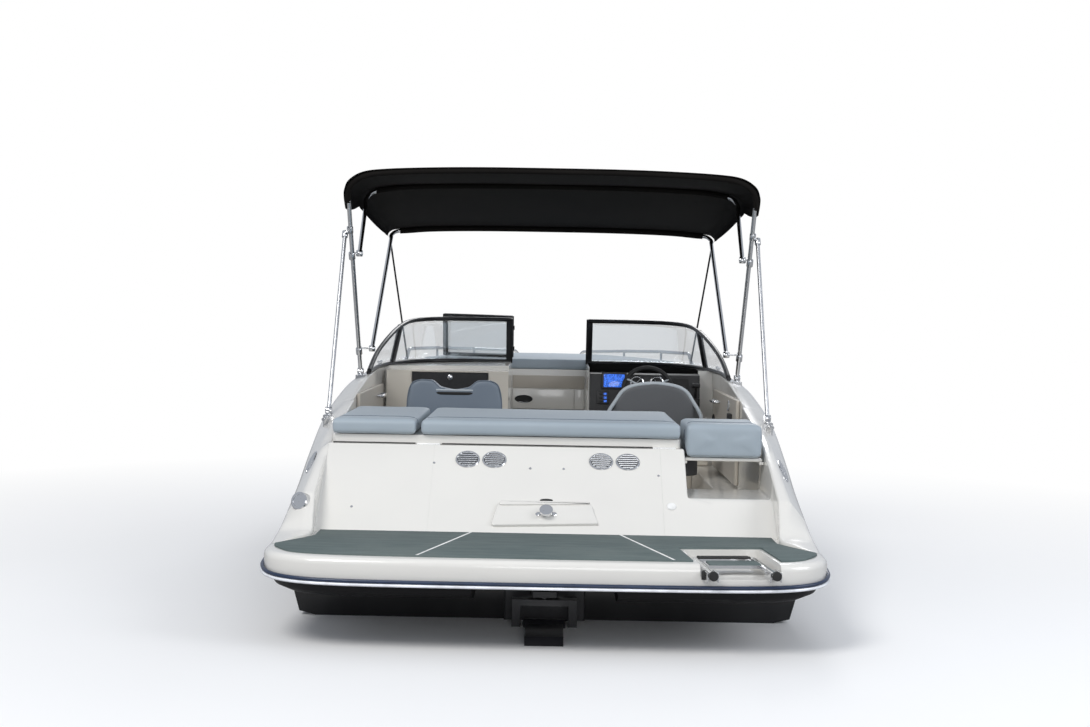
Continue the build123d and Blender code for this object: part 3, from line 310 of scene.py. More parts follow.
# %% Shader expressions
class Wire:
    """An output socket that takes part in expressions."""

    def __init__(self, shader, socket):
        self.shader, self.socket = shader, socket

    def math(self, operation, *values):
        return self.shader.node("Math", {"operation": operation}, *values)

    def __add__(self, other):
        return self.math("ADD", self, other)

    def __radd__(self, other):
        return self.math("ADD", other, self)

    def __sub__(self, other):
        return self.math("SUBTRACT", self, other)

    def __rsub__(self, other):
        return self.math("SUBTRACT", other, self)

    def __mul__(self, other):
        return self.math("MULTIPLY", self, other)

    def __rmul__(self, other):
        return self.math("MULTIPLY", other, self)

    def sine(self):
        return self.math("SINE", self)


class Shader:
    """A material with one Principled shader, built up by expressions."""

    def __init__(self, name, **sockets):
        self.material = bpy.data.materials.new(name)
        self.material.use_nodes = True
        self.tree = self.material.node_tree
        self.surface = self.tree.nodes["Principled BSDF"]
        self.set(**sockets)
        self.place = self.node("TexCoord", {}, out="Object")

    def node(self, kind, settings, *values, out=0, **sockets):
        """Any node from its type, its settings and its sockets' values, by order, name or _number."""
        made = self.tree.nodes.new("ShaderNode" + kind)
        for key, value in settings.items():
            setattr(made, key, value)
        for number, value in enumerate(values):
            self.feed(made.inputs[number], value)
        for key, value in sockets.items():
            self.feed(made.inputs[int(key[1:]) if key[0] == "_" else key.replace("_", " ")], value)
        return Wire(self, made.outputs[out])

    def feed(self, socket, value):
        if isinstance(value, Wire):
            self.tree.links.new(value.socket, socket)
        elif value is not None:
            if socket.type == "RGBA" and len(value) == 3:
                value = (*value, 1)
            socket.default_value = value

    def set(self, **sockets):
        """Sockets of the Principled shader, by name with _ for a space."""
        for name, value in sockets.items():
            self.feed(self.surface.inputs[name.replace("_", " ")], value)

    def mix(self, factor, a, b):
        """A colour between two colours."""
        return self.node("Mix", {"data_type": "RGBA"}, _0=factor, _6=a, _7=b, out=2)

    def noise(self, scale, detail, rough=0.5, stretch=None):
        return self.node("TexNoise", {}, Vector=self.stretched(stretch), Scale=scale, Detail=detail,
                         Roughness=rough)

    def cells(self, scale):
        return self.node("TexVoronoi", {"feature": "F1"}, Vector=self.place, Scale=scale, out="Distance")

    def stretched(self, stretch):
        if stretch is None:
            return self.place
        return self.node("VectorMath", {"operation": "MULTIPLY"}, self.place, stretch)

    def axes(self):
        """X, Y and Z of the place as values."""
        parts = self.tree.nodes.new("ShaderNodeSeparateXYZ")
        self.tree.links.new(self.place.socket, parts.inputs[0])
        return [Wire(self, parts.outputs[i]) for i in range(3)]

    def span(self, value, low, high, to_low=0.0, to_high=1.0):
        """A value's stretch from low to high, as to_low to to_high, held at its ends."""
        return self.node("MapRange", {"clamp": True}, value, low, high, to_low, to_high)

    def relief(self, height, distance, strength, edge=0.0):
        """Bump from a height in metres, over rounded edges where an edge radius is given."""
        normal = self.node("Bevel", {"samples": 4}, Radius=edge) if edge else None
        self.set(Normal=self.node("Bump", {}, Height=height, Distance=distance, Strength=strength,
                                  Normal=normal))


# %% [markdown]
# Gelcoat is a thick coloured resin under a clear gloss. It is never quite even: it has a faint orange-peel
# ripple, and spray leaves a dull film low down. The same recipe makes the white deck and the black hull.


# %% Gelcoat
def gelcoat(name, colour, shade, film, rough=0.16, gloss=0.6):
    made = Shader(name, Coat_Weight=gloss, Coat_Roughness=0.06, Specular_IOR_Level=0.2 + gloss / 2)
    x, y, z = made.axes()
    cloud = made.noise(1.7, 4)
    low = made.span(z + 0.18 * cloud, 0.0, 0.55, 1, 0)
    streaks = made.noise(9, 4, stretch=(1, 1, 0.12))
    film_mask = low * made.span(streaks, 0.45, 0.75) * film
    made.set(Base_Color=made.mix(film_mask, made.mix(made.span(cloud, 0.35, 0.7), colour, shade),
                                 [c * 0.72 + 0.05 for c in colour]),
             Roughness=rough + 0.1 * made.noise(38, 2) + 0.25 * film_mask)
    made.relief(made.noise(210, 2), 0.00012, 0.5, 0.004)
    return made.material


deck_white = gelcoat("deck_gelcoat", (0.80, 0.785, 0.745), (0.765, 0.75, 0.715), 0.25)
console_cream = gelcoat("console_gelcoat", (0.70, 0.655, 0.575), (0.66, 0.615, 0.54), 0.0)
hull_black = gelcoat("hull_gelcoat", (0.007, 0.007, 0.008), (0.010, 0.010, 0.012), 0.25, 0.1)
shelf_black = gelcoat("shelf_gelcoat", (0.006, 0.006, 0.007), (0.008, 0.008, 0.009), 0.0, 0.4, gloss=0.02)


# %% [markdown]
# Marine vinyl has a fine leather grain pressed into it, a soft sheen and slightly paler edges where it is
# rubbed. The grain is small cells with a finer noise over them, as a shallow bump.


# %% Vinyl
def vinyl(name, colour, worn, grain=0.00025):
    made = Shader(name, Specular_IOR_Level=0.4, Sheen_Weight=0.12, Sheen_Roughness=0.4)
    cloud = made.noise(3.2, 3)
    cells = made.cells(420)
    rub = made.node("NewGeometry", {}, out="Pointiness")
    worn_share = made.span(rub, 0.5, 0.56) * 0.5 + 0.35 * made.span(cloud, 0.4, 0.7)
    made.set(Base_Color=made.mix(worn_share, colour, worn),
             Roughness=0.40 + 0.16 * made.noise(60, 2) - 0.06 * cells)
    made.relief(cells * 0.7 + made.noise(900, 2) * 0.3, grain, 0.8)
    return made.material


pad_blue = vinyl("pad_vinyl", (0.345, 0.405, 0.455), (0.40, 0.46, 0.51))
slate_blue = vinyl("slate_vinyl", (0.155, 0.19, 0.235), (0.20, 0.24, 0.285))
helm_grey = vinyl("helm_vinyl", (0.088, 0.092, 0.098), (0.125, 0.13, 0.137))
trim_grey = vinyl("trim_vinyl", (0.40, 0.44, 0.47), (0.46, 0.50, 0.53))
liner_beige = vinyl("liner_vinyl", (0.47, 0.43, 0.37), (0.53, 0.49, 0.43))
piping_dark = vinyl("piping_vinyl", (0.10, 0.13, 0.17), (0.14, 0.17, 0.21), 0.0001)


# %% [markdown]
# The sun top is acrylic canvas: a plain weave that shows only close up, hardly shiny, dusty in large patches.
# Crossed waves make the weave without UVs.


# %% Canvas, webbing and mats
def woven(name, colour, dust, pitch, depth, rough=0.85, shine=0.12):
    made = Shader(name, Specular_IOR_Level=shine)
    x, y, z = made.axes()
    turns = tau / pitch
    weft, warp, rise = (x * turns).sine(), (y * turns).sine(), (z * turns).sine()
    weave = weft * warp * 0.5 + rise * weft * 0.3 + 0.5
    dusty = made.span(made.noise(2.3, 4), 0.45, 0.8) * 0.5
    made.set(Base_Color=made.mix(dusty, colour, dust), Roughness=rough - 0.12 * weave)
    made.relief(weave + 0.6 * made.noise(700, 2), depth, 0.7)
    return made.material


canvas_black = woven("canvas", (0.0075, 0.0065, 0.0058), (0.014, 0.0125, 0.011), 0.0016, 0.0003)
webbing_black = woven("webbing", (0.014, 0.014, 0.015), (0.03, 0.03, 0.03), 0.0022, 0.0004)
dash_cloth = woven("dash_cover", (0.008, 0.008, 0.008), (0.012, 0.012, 0.012), 0.002, 0.0002, 0.95, 0.0)
floor_carpet = woven("floor_mat", (0.27, 0.25, 0.22), (0.34, 0.32, 0.28), 0.0045, 0.0009, 0.95)


def foam_mat():
    """Grey-green platform foam: brushed, dimpled, a little paler where feet have rubbed it."""
    made = Shader("platform_foam", Specular_IOR_Level=0.25)
    brushed = made.noise(6, 5, 0.6, stretch=(1, 5, 1))
    dimples = made.cells(260)
    worn = made.span(made.noise(2.1, 4), 0.5, 0.75)
    fresh = made.mix(made.span(brushed, 0.35, 0.7), (0.105, 0.135, 0.135), (0.135, 0.17, 0.168))
    made.set(Base_Color=made.mix(worn * 0.55, fresh, (0.175, 0.205, 0.195)), Roughness=0.78 + 0.15 * dimples)
    made.relief(dimples + 0.4 * brushed, 0.0006, 0.8)
    return made.material


mat_foam = foam_mat()


# %% [markdown]
# Steel and aluminium tube is bright, with faint streaks along it, so the roughness changes slowly and the
# colour hardly at all. Black parts are an anodised screen frame, a grained dash and a painted drive.


# %% Metals, plastics and glass
def metal(name, colour, rough, stain=0.0):
    made = Shader(name, Metallic=1.0)
    streak = made.noise(24, 4, stretch=(1, 1, 0.25))
    spots = made.span(made.noise(90, 3), 0.62, 0.75) * stain
    clean = made.mix(streak, colour, [c * 0.9 for c in colour])
    made.set(Base_Color=made.mix(spots, clean, (0.42, 0.38, 0.33)),
             Roughness=rough + 0.1 * streak + 0.2 * spots)
    made.relief(made.noise(300, 2), 0.00004, 0.4)
    return made.material


def moulded(name, colour, rough, grain, metallic=0.0, coat=0.0, edge=0.0):
    made = Shader(name, Metallic=metallic, Coat_Weight=coat, Coat_Roughness=0.12)
    cloud = made.noise(14, 4)
    made.set(Base_Color=made.mix(made.span(cloud, 0.4, 0.7), colour, [c * 1.35 + 0.002 for c in colour]),
             Roughness=rough + 0.12 * made.noise(120, 2))
    made.relief(made.noise(650, 2) + 0.6 * made.cells(480), grain, 0.7, edge)
    return made.material


def glazing(name, colour, alpha):
    made = Shader(name, Base_Color=(*colour, 1), Transmission_Weight=1.0, IOR=1.45, Alpha=alpha)
    made.set(Roughness=0.01 + 0.05 * made.span(made.noise(5, 4), 0.55, 0.85))
    return made.material


def lamp(name, colour, glow, strength):
    """A lens or display that gives its own light, brighter in its cells."""
    made = Shader(name, Roughness=0.08, Emission_Strength=strength, Coat_Weight=0.4)
    cells = made.span(made.cells(130), 0.2, 0.6, 1, 0.35)
    made.set(Base_Color=made.mix(cells, (0.01, 0.02, 0.05), colour),
             Emission_Color=made.mix(cells, (0, 0, 0.01), glow))
    return made.material


steel = metal("stainless", (0.74, 0.745, 0.755), 0.09, 0.3)
pole_white = metal("pole_tube", (0.60, 0.61, 0.63), 0.3)
frame_black = moulded("frame_black", (0.012, 0.012, 0.014), 0.3, 0.00005, 0.5, 0.3, 0.001)
dash_black = moulded("dash_plastic", (0.010, 0.010, 0.011), 0.42, 0.0003, edge=0.004)
drive_black = moulded("drive_paint", (0.020, 0.020, 0.023), 0.28, 0.0001, 0.0, 0.5, 0.006)
rubber_black = moulded("rubber", (0.012, 0.012, 0.012), 0.6, 0.0002)
rail_navy = moulded("rub_rail", (0.010, 0.024, 0.062), 0.3, 0.0001, 0.0, 0.2)
# Pale bluish white: the gauge needles' own colour, and on the rub rail's insert a painted highlight along its
# edge
needle_white_rail_glint = moulded("needle_white_rail_glint", (0.80, 0.82, 0.86), 0.25, 0.0001, 0.0, 0.3)
engine_paint = moulded("engine_iron", (0.06, 0.06, 0.065), 0.5, 0.0006, edge=0.02)
plastic_white = moulded("white_fitting", (0.78, 0.78, 0.77), 0.3, 0.0001, 0.0, 0.3, 0.002)
screen_clear = glazing("screen_glass", (0.80, 0.88, 0.89), 0.30)
lens_blue = lamp("lamp_lens", (0.10, 0.25, 0.90), (0.10, 0.28, 1.0), 2.2)
display_blue = lamp("display", (0.03, 0.10, 0.55), (0.05, 0.22, 1.0), 1.1)
print("materials", len(bpy.data.materials))

# %% [markdown]
# The deck is one moulding from the platform to the bow: the quarters and sides outside, then over the
# gunwale and down into the passage, the engine bay, the cockpit and the bow well. It is drawn as one skin:
# each station along the boat has the same run of corners from the rub rail to the centreline, all rounded.

# %% Tables of the hull and the deck
half_beam = 1.235
stern_y, bow_y = -0.030, 5.550
span_y = bow_y - stern_y
platform_top, platform_aft, platform_round = 0.400, -0.800, 0.030
floor_z, ledge_z, base_z = 0.200, 0.450, 0.775
# Aft tips of the quarters, the bulkhead before the bow well, and the end of the well
quarter_aft, bulkhead_y, well_end = -0.440, 3.600, 5.120
# Columns: forward (share), keel height, then half-width (share) and height of the chine and of the rail
hull_rows = (
    (0.000, -0.370, 0.935, 0.020, 1.000, 0.375), (0.180, -0.370, 0.935, 0.022, 1.000, 0.590),
    (0.400, -0.362, 0.905, 0.040, 1.000, 0.762), (0.560, -0.335, 0.825, 0.085, 0.975, 0.838),
    (0.700, -0.275, 0.672, 0.165, 0.885, 0.880), (0.810, -0.175, 0.500, 0.280, 0.735, 0.902),
    (0.895, -0.020, 0.315, 0.430, 0.520, 0.917), (0.955, 0.250, 0.150, 0.600, 0.290, 0.927),
    (1.000, 0.600, 0.028, 0.760, 0.075, 0.935),
)
# Columns: forward (share), then half-width (share) and height of the shoulder and of the crown
deck_rows = (
    (0.000, 1.000, 0.462, 0.925, 0.575), (0.057, 1.000, 0.560, 0.915, 0.705),
    (0.120, 1.000, 0.695, 0.915, 0.815), (0.194, 1.000, 0.838, 0.915, 0.885),
    (0.300, 0.995, 0.945, 0.915, 0.975), (0.400, 0.985, 1.010, 0.900, 1.040),
    (0.560, 0.955, 1.045, 0.860, 1.075), (0.700, 0.860, 1.045, 0.760, 1.078),
    (0.810, 0.700, 1.035, 0.600, 1.068), (0.895, 0.485, 1.022, 0.385, 1.050),
    (0.955, 0.260, 1.010, 0.170, 1.030), (1.000, 0.062, 1.000, 0.030, 1.010),
)
# Quarters over the platform. Columns: forward, wall half-width, crown and shoulder (half-width, height)
quarter_rows = (
    (quarter_aft, 1.196, 1.200, 0.4008, 1.2045, 0.4006), (-0.300, 1.122, 1.150, 0.414, 1.228, 0.410),
    (-0.206, 1.072, 1.108, 0.426, 1.234, 0.421), (-0.120, 1.080, 1.118, 0.494, 1.235, 0.442),
    (stern_y, 1.088, 1.142, 0.575, 1.235, 0.462),
)
# Half of the bow well. Columns: forward, half-width
well_rows = ((bulkhead_y, 0.905), (4.050, 0.810), (4.500, 0.670), (4.840, 0.475), (5.060, 0.300),
             (well_end, 0.02))


def hull_at(y):
    keel, chine, chine_z, rail, rail_z = through(hull_rows, (y - stern_y) / span_y)
    return keel, chine * half_beam, chine_z, rail * half_beam, rail_z


def deck_at(y):
    """Shoulder half-width and height, crown half-width and height."""
    shoulder, shoulder_z, crown, crown_z = through(deck_rows, (y - stern_y) / span_y)
    return shoulder * half_beam, shoulder_z, crown * half_beam, crown_z


# %% Corners of the deck's inside, by region
inner_wall, cockpit_half, foot_half, walk_half, bay_half = 1.088, 1.095, 0.950, 0.262, 0.560
passage_in, passage_out = 0.682, 1.080
threshold_z, step_z, bay_floor, well_floor = 0.560, 0.370, -0.120, 1.035
# Places along the boat, from the passage's sill to the front of the cockpit
sill_y, transom_top, bay_aft, step_y, foot_y = 0.159, 0.400, 0.460, 0.560, 0.940
bay_front, pad_front, cockpit_front = 1.320, 1.350, 2.850


def face_height(y):
    """Height of the sloping transom face and of the flat base behind it."""
    share = (y - stern_y) / (transom_top - stern_y)
    return platform_top + min(max(share, 0), 1) * (base_z - platform_top)


def floor_run(half, z):
    """Eight corners of a flat floor, from its side to the centreline."""
    return [(half * k / 7, z) for k in range(7, -1, -1)]


def inside(y, side, region):
    """(x, z) corners from the foot of the inner wall to the centreline. Every region gives eight."""
    if region == "quarter":
        wall = through(quarter_rows, y)[0]
        return [(wall - 0.006 * k, platform_top - 0.003) for k in range(8)]
    if region in ("face", "base", "bay"):
        z = face_height(y)
        low = bay_floor if region == "bay" else z - 0.001
        middle = [(bay_half, z), (bay_half, low), (0, low)]
        if side < 0 or z <= threshold_z + 0.001:
            return [(x, z) for x in (inner_wall, 1.0, 0.9, 0.8, 0.7)] + middle
        trench = [(x, threshold_z) for x in (passage_out, 1.0, 0.95, passage_in)]
        if y >= step_y:
            low = floor_z if y >= foot_y else step_z - 0.001
            trench = [(passage_out, step_z), (foot_half, step_z), (foot_half, low), (passage_in, low)]
        return trench + [(passage_in, z)] + middle
    if region == "cockpit":
        return [(cockpit_half, ledge_z), (foot_half, ledge_z), (foot_half, floor_z)] + [
            (x, floor_z) for x in (0.8, 0.6, 0.4, 0.2, 0)]
    if region in ("walk", "well"):
        return floor_run(lip(y, region), floor_z if region == "walk" else well_floor)
    half, z = lip(y, region), deck_at(y)[3] + 0.012
    return [(x, z + 0.004 * (1 - x / half)) for x, z in floor_run(half, z)]


def lip(y, region):
    """Half-width of the inner edge at the top of the wall."""
    if region == "quarter":
        return through(quarter_rows, y)[0]
    if region in ("face", "base", "bay"):
        return inner_wall
    if region == "cockpit":
        return cockpit_half
    if region == "walk":
        return walk_half
    if region == "well":
        return float(through(well_rows, y)[0])
    return min(0.2, deck_at(y)[2] * 0.6)


def deck_section(y, side, region):
    """The rounded run of one side, from the rub rail to the centreline."""
    if y < stern_y:
        wall, crown, crown_z, shoulder, shoulder_z = through(quarter_rows, y)
        # The foot slides down the platform's rounded edge, so that the quarter grows out of it
        turn = pi / 2 * (1 - min(1, (y - quarter_aft) / 0.12))
        foot = (half_beam - platform_round * (1 - cos(turn)) + 0.0008,
                platform_top - platform_round * (1 - sin(turn)))
        outer = [foot, (shoulder, shoulder_z), (crown, crown_z)]
    else:
        shoulder, shoulder_z, crown, crown_z = deck_at(y)
        rail, rail_z = hull_at(y)[3:]
        outer = [(rail, rail_z), (shoulder, shoulder_z), (crown, crown_z)]
    edge = lip(y, region)
    corners = inside(y, side, region)
    top = max(outer[2][1], corners[0][1] + 0.002) if region in ("face", "base", "bay") else outer[2][1]
    camber = 0.012 if region in ("walk", "fore") else 0.0
    run = outer + [(min(edge, outer[2][0] - 0.001), top + camber)] + corners
    radii = [0.055, 0.02, 0.010, 0.012] + [0.012] * 7
    return [(side * x, y, z) for x, z in rounded(run, radii[:len(run) - 2], 4)]


# Stations. Columns: from, to, how many steps, region
deck_regions = (
    (quarter_aft, stern_y - 0.001, 20, "quarter"), (stern_y, sill_y, 8, "face"),
    (sill_y + 0.0003, transom_top, 10, "face"), (transom_top + 0.002, bay_aft - 0.002, 2, "base"),
    (bay_aft, step_y - 0.002, 3, "bay"), (step_y + 0.001, foot_y - 0.002, 8, "bay"),
    (foot_y + 0.001, bay_front, 8, "bay"), (bay_front + 0.002, pad_front - 0.001, 1, "base"),
    (pad_front + 0.001, cockpit_front - 0.002, 26, "cockpit"),
    (cockpit_front + 0.002, bulkhead_y - 0.001, 14, "walk"),
    (bulkhead_y + 0.001, well_end - 0.002, 34, "well"),
    (well_end + 0.002, bow_y, 14, "fore"),
)


def deck_shell():
    pieces = [[deck_section(y, side, region) for low, high, count, region in deck_regions
               for y in steps_between(low, high, count)] for side in (-1, 1)]
    verts, faces = [], []
    for rows in pieces:
        faces += skin_faces(len(rows), len(rows[0]), offset=len(verts))
        verts += [v for row in rows for v in row]
    # The stem closes between the two sides
    last_port, last_starboard = pieces[0][-1], pieces[1][-1]
    base = len(verts)
    verts += last_port + last_starboard
    n = len(last_port)
    faces += [(base + k, base + k + 1, base + n + k + 1, base + n + k) for k in range(n - 1)]
    obj = new_mesh("deck_shell", verts, faces)
    return finish_piece(obj, deck_white, "root", 38, ["deck_moulding"])


deck = deck_shell()
for side, low_x, high_x in ((0, 0.679, 0.700), (1, 1.062, 1.083)):
    block("filler_ledge_%d" % side, (low_x, 0.430, 0.701), (high_x, 0.810, 0.715), 0.003, deck_white)
print("deck shell", len(deck.data.polygons), "faces")

# %% [markdown]
# The hull below the rub rail is black: a vee bottom, a flat chine with a small step, and sides that flare to
# the rail. The shelf that carries the platform narrows below it and has a tunnel for the drive.


# %% Hull skin
def hull_section(y):
    keel, chine, chine_z, rail, rail_z = hull_at(y)
    flat = max(chine - 0.055, chine * 0.6)
    strake = flat * 0.52
    flat_z = chine_z - 0.012
    strake_z = (keel + flat_z) / 2
    step = 0.018 if chine > 0.3 else 0
    bottom = [(0, keel), (strake, strake_z), (strake + step, strake_z - 0.004), (flat, flat_z),
              (chine, chine_z)]
    flare = [(chine + (rail - chine) * t**0.85, chine_z + (rail_z - chine_z) * t)
             for t in (0.25, 0.5, 0.75, 1.0)]
    return bottom + flare


def hull_skin():
    rows = []
    for share in steps_between(0, 1, 90):
        y = stern_y + share * span_y
        half = hull_section(y)
        rows.append([(x, y, z) for x, z in reversed(half)] + [(-x, y, z) for x, z in half[1:]])
    obj = skin("hull_skin", rows, ends=True)
    return finish_piece(obj, hull_black, "root", 28, ["hull"])


hull = hull_skin()
# Outline of the platform. Columns: half-width, forward
platform_half = (
    (0, platform_aft), (0.60, -0.796), (0.90, -0.782), (1.07, -0.745), (1.175, -0.672), (1.225, -0.560),
    (half_beam, -0.43), (half_beam, -0.25), (half_beam, stern_y - 0.001),
)


def platform_outline(steps=6):
    """Closed outline of the platform, counter-clockwise, smooth round its corners."""
    half = [tuple(p) for p in smooth_path(platform_half, steps)]
    return [(x, y) for x, y in half] + [(-x, y) for x, y in reversed(half) if x > 0.0005]


def platform_rail(y):
    """Height of the rub rail along the platform, where the white moulding meets the black shelf."""
    return through(((-0.85, 0.292), (-0.40, 0.332), (-0.03, 0.375)), y)[0]


def ring_of(outline, inset, height, aft=0.0):
    """The outline drawn in at its sides and aft edge, at a height that may change along the boat."""
    pts = [np.array(p, float) for p in outline]
    out = []
    for i, p in enumerate(pts):
        normal = np.array([np.sign(p[0]), 0.0]) if p[1] > stern_y - 0.01 else outward(pts, i)
        x, y = p - normal * inset
        z = height(y) if callable(height) else height
        out.append((x, y + aft * (y < stern_y - 0.01), z))
    return out


outline = platform_outline()
shelf = skin("platform_shelf", [
    ring_of(outline, 0.17, 0.195, 0.06), ring_of(outline, 0.12, 0.215, 0.02),
    ring_of(outline, 0.045, lambda y: platform_rail(y) - 0.055),
    ring_of(outline, 0.012, lambda y: platform_rail(y) - 0.008),
], closed=True, ends=True)
tunnel = block("tunnel", (-0.31, -1.4, 0.1), (0.31, 0.2, 0.28), 0.02, hull_black)
finish_piece(cut(shelf, tunnel), shelf_black, "root", 35, ())
print("hull", len(hull.data.polygons), "faces")

# %% [markdown]
# The platform is a white moulding with a rounded edge. The ladder lies in a recess cut into its aft
# starboard corner, turned a little outwards. Foam panels cover the top with pale seams between them.

# %% Platform, ladder recess and foam
ladder_turn = Matrix.Translation((0.829, -0.838, 0.366)) @ Matrix.Rotation(radians(6), 4, "Z")
# Its rounded edge. Columns: drawn in, below the top
platform_edge = ((0.0, platform_round), (0.0025, 0.018), (0.009, 0.0085), (0.018, 0.0025),
                 (platform_round, 0.0))
platform = skin("platform_shell", [
    ring_of(outline, 0.004, lambda y: platform_rail(y) + 0.001),
    ring_of(outline, 0.0, lambda y: platform_rail(y) + 0.012),
] + [ring_of(outline, inset, platform_top - below) for inset, below in platform_edge], closed=True, ends=True)
recess = block("recess", (-0.172, -0.10, -0.028), (0.172, 0.455, 0.20), 0.018, deck_white, turn=ladder_turn)
finish_piece(cut(platform, recess), deck_white, "root", 35, ["swim_platform"])

# The foam's outline: a curve along the platform's edge, then corners round the foot of the quarter
mat_edge = ((0, -0.738), (0.60, -0.732), (0.92, -0.712), (1.08, -0.668), (1.150, -0.588), (1.188, -0.510),
            (1.195, -0.462))
mat_corners = [(1.106, -0.312), (1.058, -0.216), (1.058, -0.046), (0, -0.046)]
mat_half = [tuple(p) for p in smooth_path(mat_edge, 5)] + mat_corners
mat_outline = mat_half + [(-x, y) for x, y in reversed(mat_half[1:-1])]
foam = plate("platform_foam", mat_outline, platform_top - 0.002, platform_top + 0.008, 0.003, mat_foam,
             stands_for=["platform_mats"])
mat_hole = block("mat_hole", (-0.190, -0.10, 0.0), (0.190, 0.473, 0.20), 0.012, mat_foam, turn=ladder_turn)
finish_piece(cut(foam, mat_hole), mat_foam, "root", 35)
seam_corners = ((0.345, -0.05), (0.357, -0.05), (0.552, -0.728), (0.540, -0.728))
join("platform_seams", [
    plate("seam", [(side * x, y) for x, y in seam_corners], platform_top, platform_top + 0.0086, 0.001,
          plastic_white)
    for side in (-1, 1)])
print("platform", len(platform.data.polygons), "faces")

# %% [markdown]
# The rub rail is a navy strip with its insert under it. The insert's pale bluish white is a painted highlight
# along the rail's edge. It follows the joint of hull and deck from the stem aft and round the platform, so it
# is one closed sweep along that line.


# %% Rub rail
def rail_line(out, lift):
    """Closed line round the boat, this far outside the moulding and above the joint."""
    side = []
    for share in steps_between(1, 0.0, 60):
        y = stern_y + share * span_y
        rail, rail_z = hull_at(y)[3:]
        side.append((rail + out, y, rail_z + lift))
    stern = [(x + out * min(1, x / 0.9), y - out * min(1, max(0, (-y - 0.4) / 0.3)), platform_rail(y) + lift)
             for x, y in reversed(platform_outline(4)[:33]) if y < stern_y - 0.02]
    half = side + stern
    return half + [(-x, y, z) for x, y, z in reversed(half) if abs(x) > 0.002]


bar("rub_rail_strip", rail_line(0.006, 0.0065), 0.0085, rail_navy, sides=10, closed=True,
    stands_for=["rub_rail"])
# The insert under the navy strip: its pale bluish white is a painted highlight along the rail's edge
bar("rub_rail_glint_strip", rail_line(0.009, -0.0080), 0.0068, needle_white_rail_glint, closed=True, sides=8)

# %% [markdown]
# Pads are vinyl over foam. The photograph shows flat tops with a line of piping across, full rounded aft
# edges and sides that pull in at the corners. Each starts as a box a little smaller than its place, is blown
# up by a cloth simulation, and gets its seam and piping afterwards.


# %% Pads
def even_skin(obj, voxel):
    """A voxel remesh, left as a modifier."""
    remesh = obj.modifiers.new("remesh", "REMESH")
    remesh.mode, remesh.voxel_size = "VOXEL", voxel


def pad_solid(name, low, high):
    """A box a little smaller than the pad's place, its upper aft edge rounded wide and the others less."""
    bm = box_bmesh(low, high, 0.005)
    middle = (low + high) / 2
    aft_edge = [e for e in bm.edges if abs(e.verts[0].co.x - e.verts[1].co.x) > 0.1
                and e.verts[0].co.y < middle.y and e.verts[0].co.z > middle.z]
    bmesh.ops.bevel(bm, geom=aft_edge, offset=min(0.42 * min(high - low), 0.028), segments=5, profile=0.5,
                    affect="EDGES")
    sharp = [e for e in bm.edges if len(e.link_faces) == 2 and e.calc_face_angle() > 0.6]
    bmesh.ops.bevel(bm, geom=sharp, offset=0.014, segments=3, profile=0.5, affect="EDGES")
    obj = placed_bmesh(name, bm)
    even_skin(obj, 0.012)
    apply_modifiers(obj)
    return obj


def blow_up(obj, pressure, cap, frames):
    """Inflates the pad by a cloth simulation and keeps each point within cap of where it was."""
    rest = np.empty(len(obj.data.vertices) * 3)
    obj.data.vertices.foreach_get("co", rest)
    cloth = obj.modifiers.new("cloth", "CLOTH")
    cloth.settings.use_pressure = True
    cloth.settings.uniform_pressure_force = pressure
    cloth.settings.effector_weights.gravity = 0
    cloth.settings.quality = 4
    cloth.point_cache.frame_start, cloth.point_cache.frame_end = 1, frames
    for step in range(1, frames + 1):
        scene.frame_set(step)
    moved = np.empty_like(rest)
    applied(obj).vertices.foreach_get("co", moved)
    shift = (moved - rest).reshape(-1, 3)
    length = np.linalg.norm(shift, axis=1, keepdims=True) + 1e-12
    shift *= np.minimum(1, cap / length)
    obj.modifiers.clear()
    obj.data.vertices.foreach_set("co", (rest.reshape(-1, 3) + shift).ravel())
    obj.data.update()
    scene.frame_set(1)


def laid_line(obj, plane_y):
    """Points over a piece's top and sides in one plane across it, just above its surface."""
    count, reach, lift = 26, 0.2, 0.0012
    tree = BVHTree.FromObject(obj, bpy.context.evaluated_depsgraph_get())
    corners = np.array([v.co for v in obj.data.vertices])
    low, high = corners.min(0), corners.max(0)
    side_heights = [low[2] + share * (high[2] - low[2]) for share in (0.5, 0.75)]
    rays = [((low[0] - reach, plane_y, z), (1, 0, 0)) for z in side_heights]
    rays += [((low[0] + (high[0] - low[0]) * (k + 0.5) / count, plane_y, high[2] + reach), (0, 0, -1))
             for k in range(count)]
    rays += [((high[0] + reach, plane_y, z), (-1, 0, 0)) for z in reversed(side_heights)]
    hits = [tree.ray_cast(Vector(start), Vector(run))[:2] for start, run in rays]
    return [place + normal * lift for place, normal in hits if place]


def pad(name, node, body, seam):
    """A stuffed pad in the place of the frame's solid, with a sewn groove across it at one y value."""
    low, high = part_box(node)
    obj = pad_solid(name, low, high)
    blow_up(obj, 4.0, 0.006, 16)
    for v in obj.data.vertices:
        near = abs(v.co.y - seam)
        if near < 0.02 and v.co.z > (low.z + high.z) / 2:
            v.co.z -= 0.0045 * (1 - near / 0.02) ** 2
        v.co.z = max(v.co.z, low.z + 0.0005)
    smooth = obj.modifiers.new("smooth", "SUBSURF")
    smooth.levels = smooth.render_levels = 1
    finish_piece(obj, pad_blue, body, 60, [node])
    return obj


for name, node, body in (("pad_port", "sun_pad_port", "hatch"), ("pad_middle", "sun_pad_middle", "hatch"),
                         ("pad_filler", "filler_pad", "root")):
    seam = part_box(node)[0].y + 0.155
    made = pad(name, node, body, seam)
    bar(name + "_piping", laid_line(made, seam), 0.0026, piping_dark, body, 8)
print("pads done")

# %% [markdown]
# The seats, the bench and the bow cushions have shapes of their own, so they start from the frame's solids. A
# voxel remesh gives an even skin, and smoothing pulls in every corner the way foam does under tight vinyl.


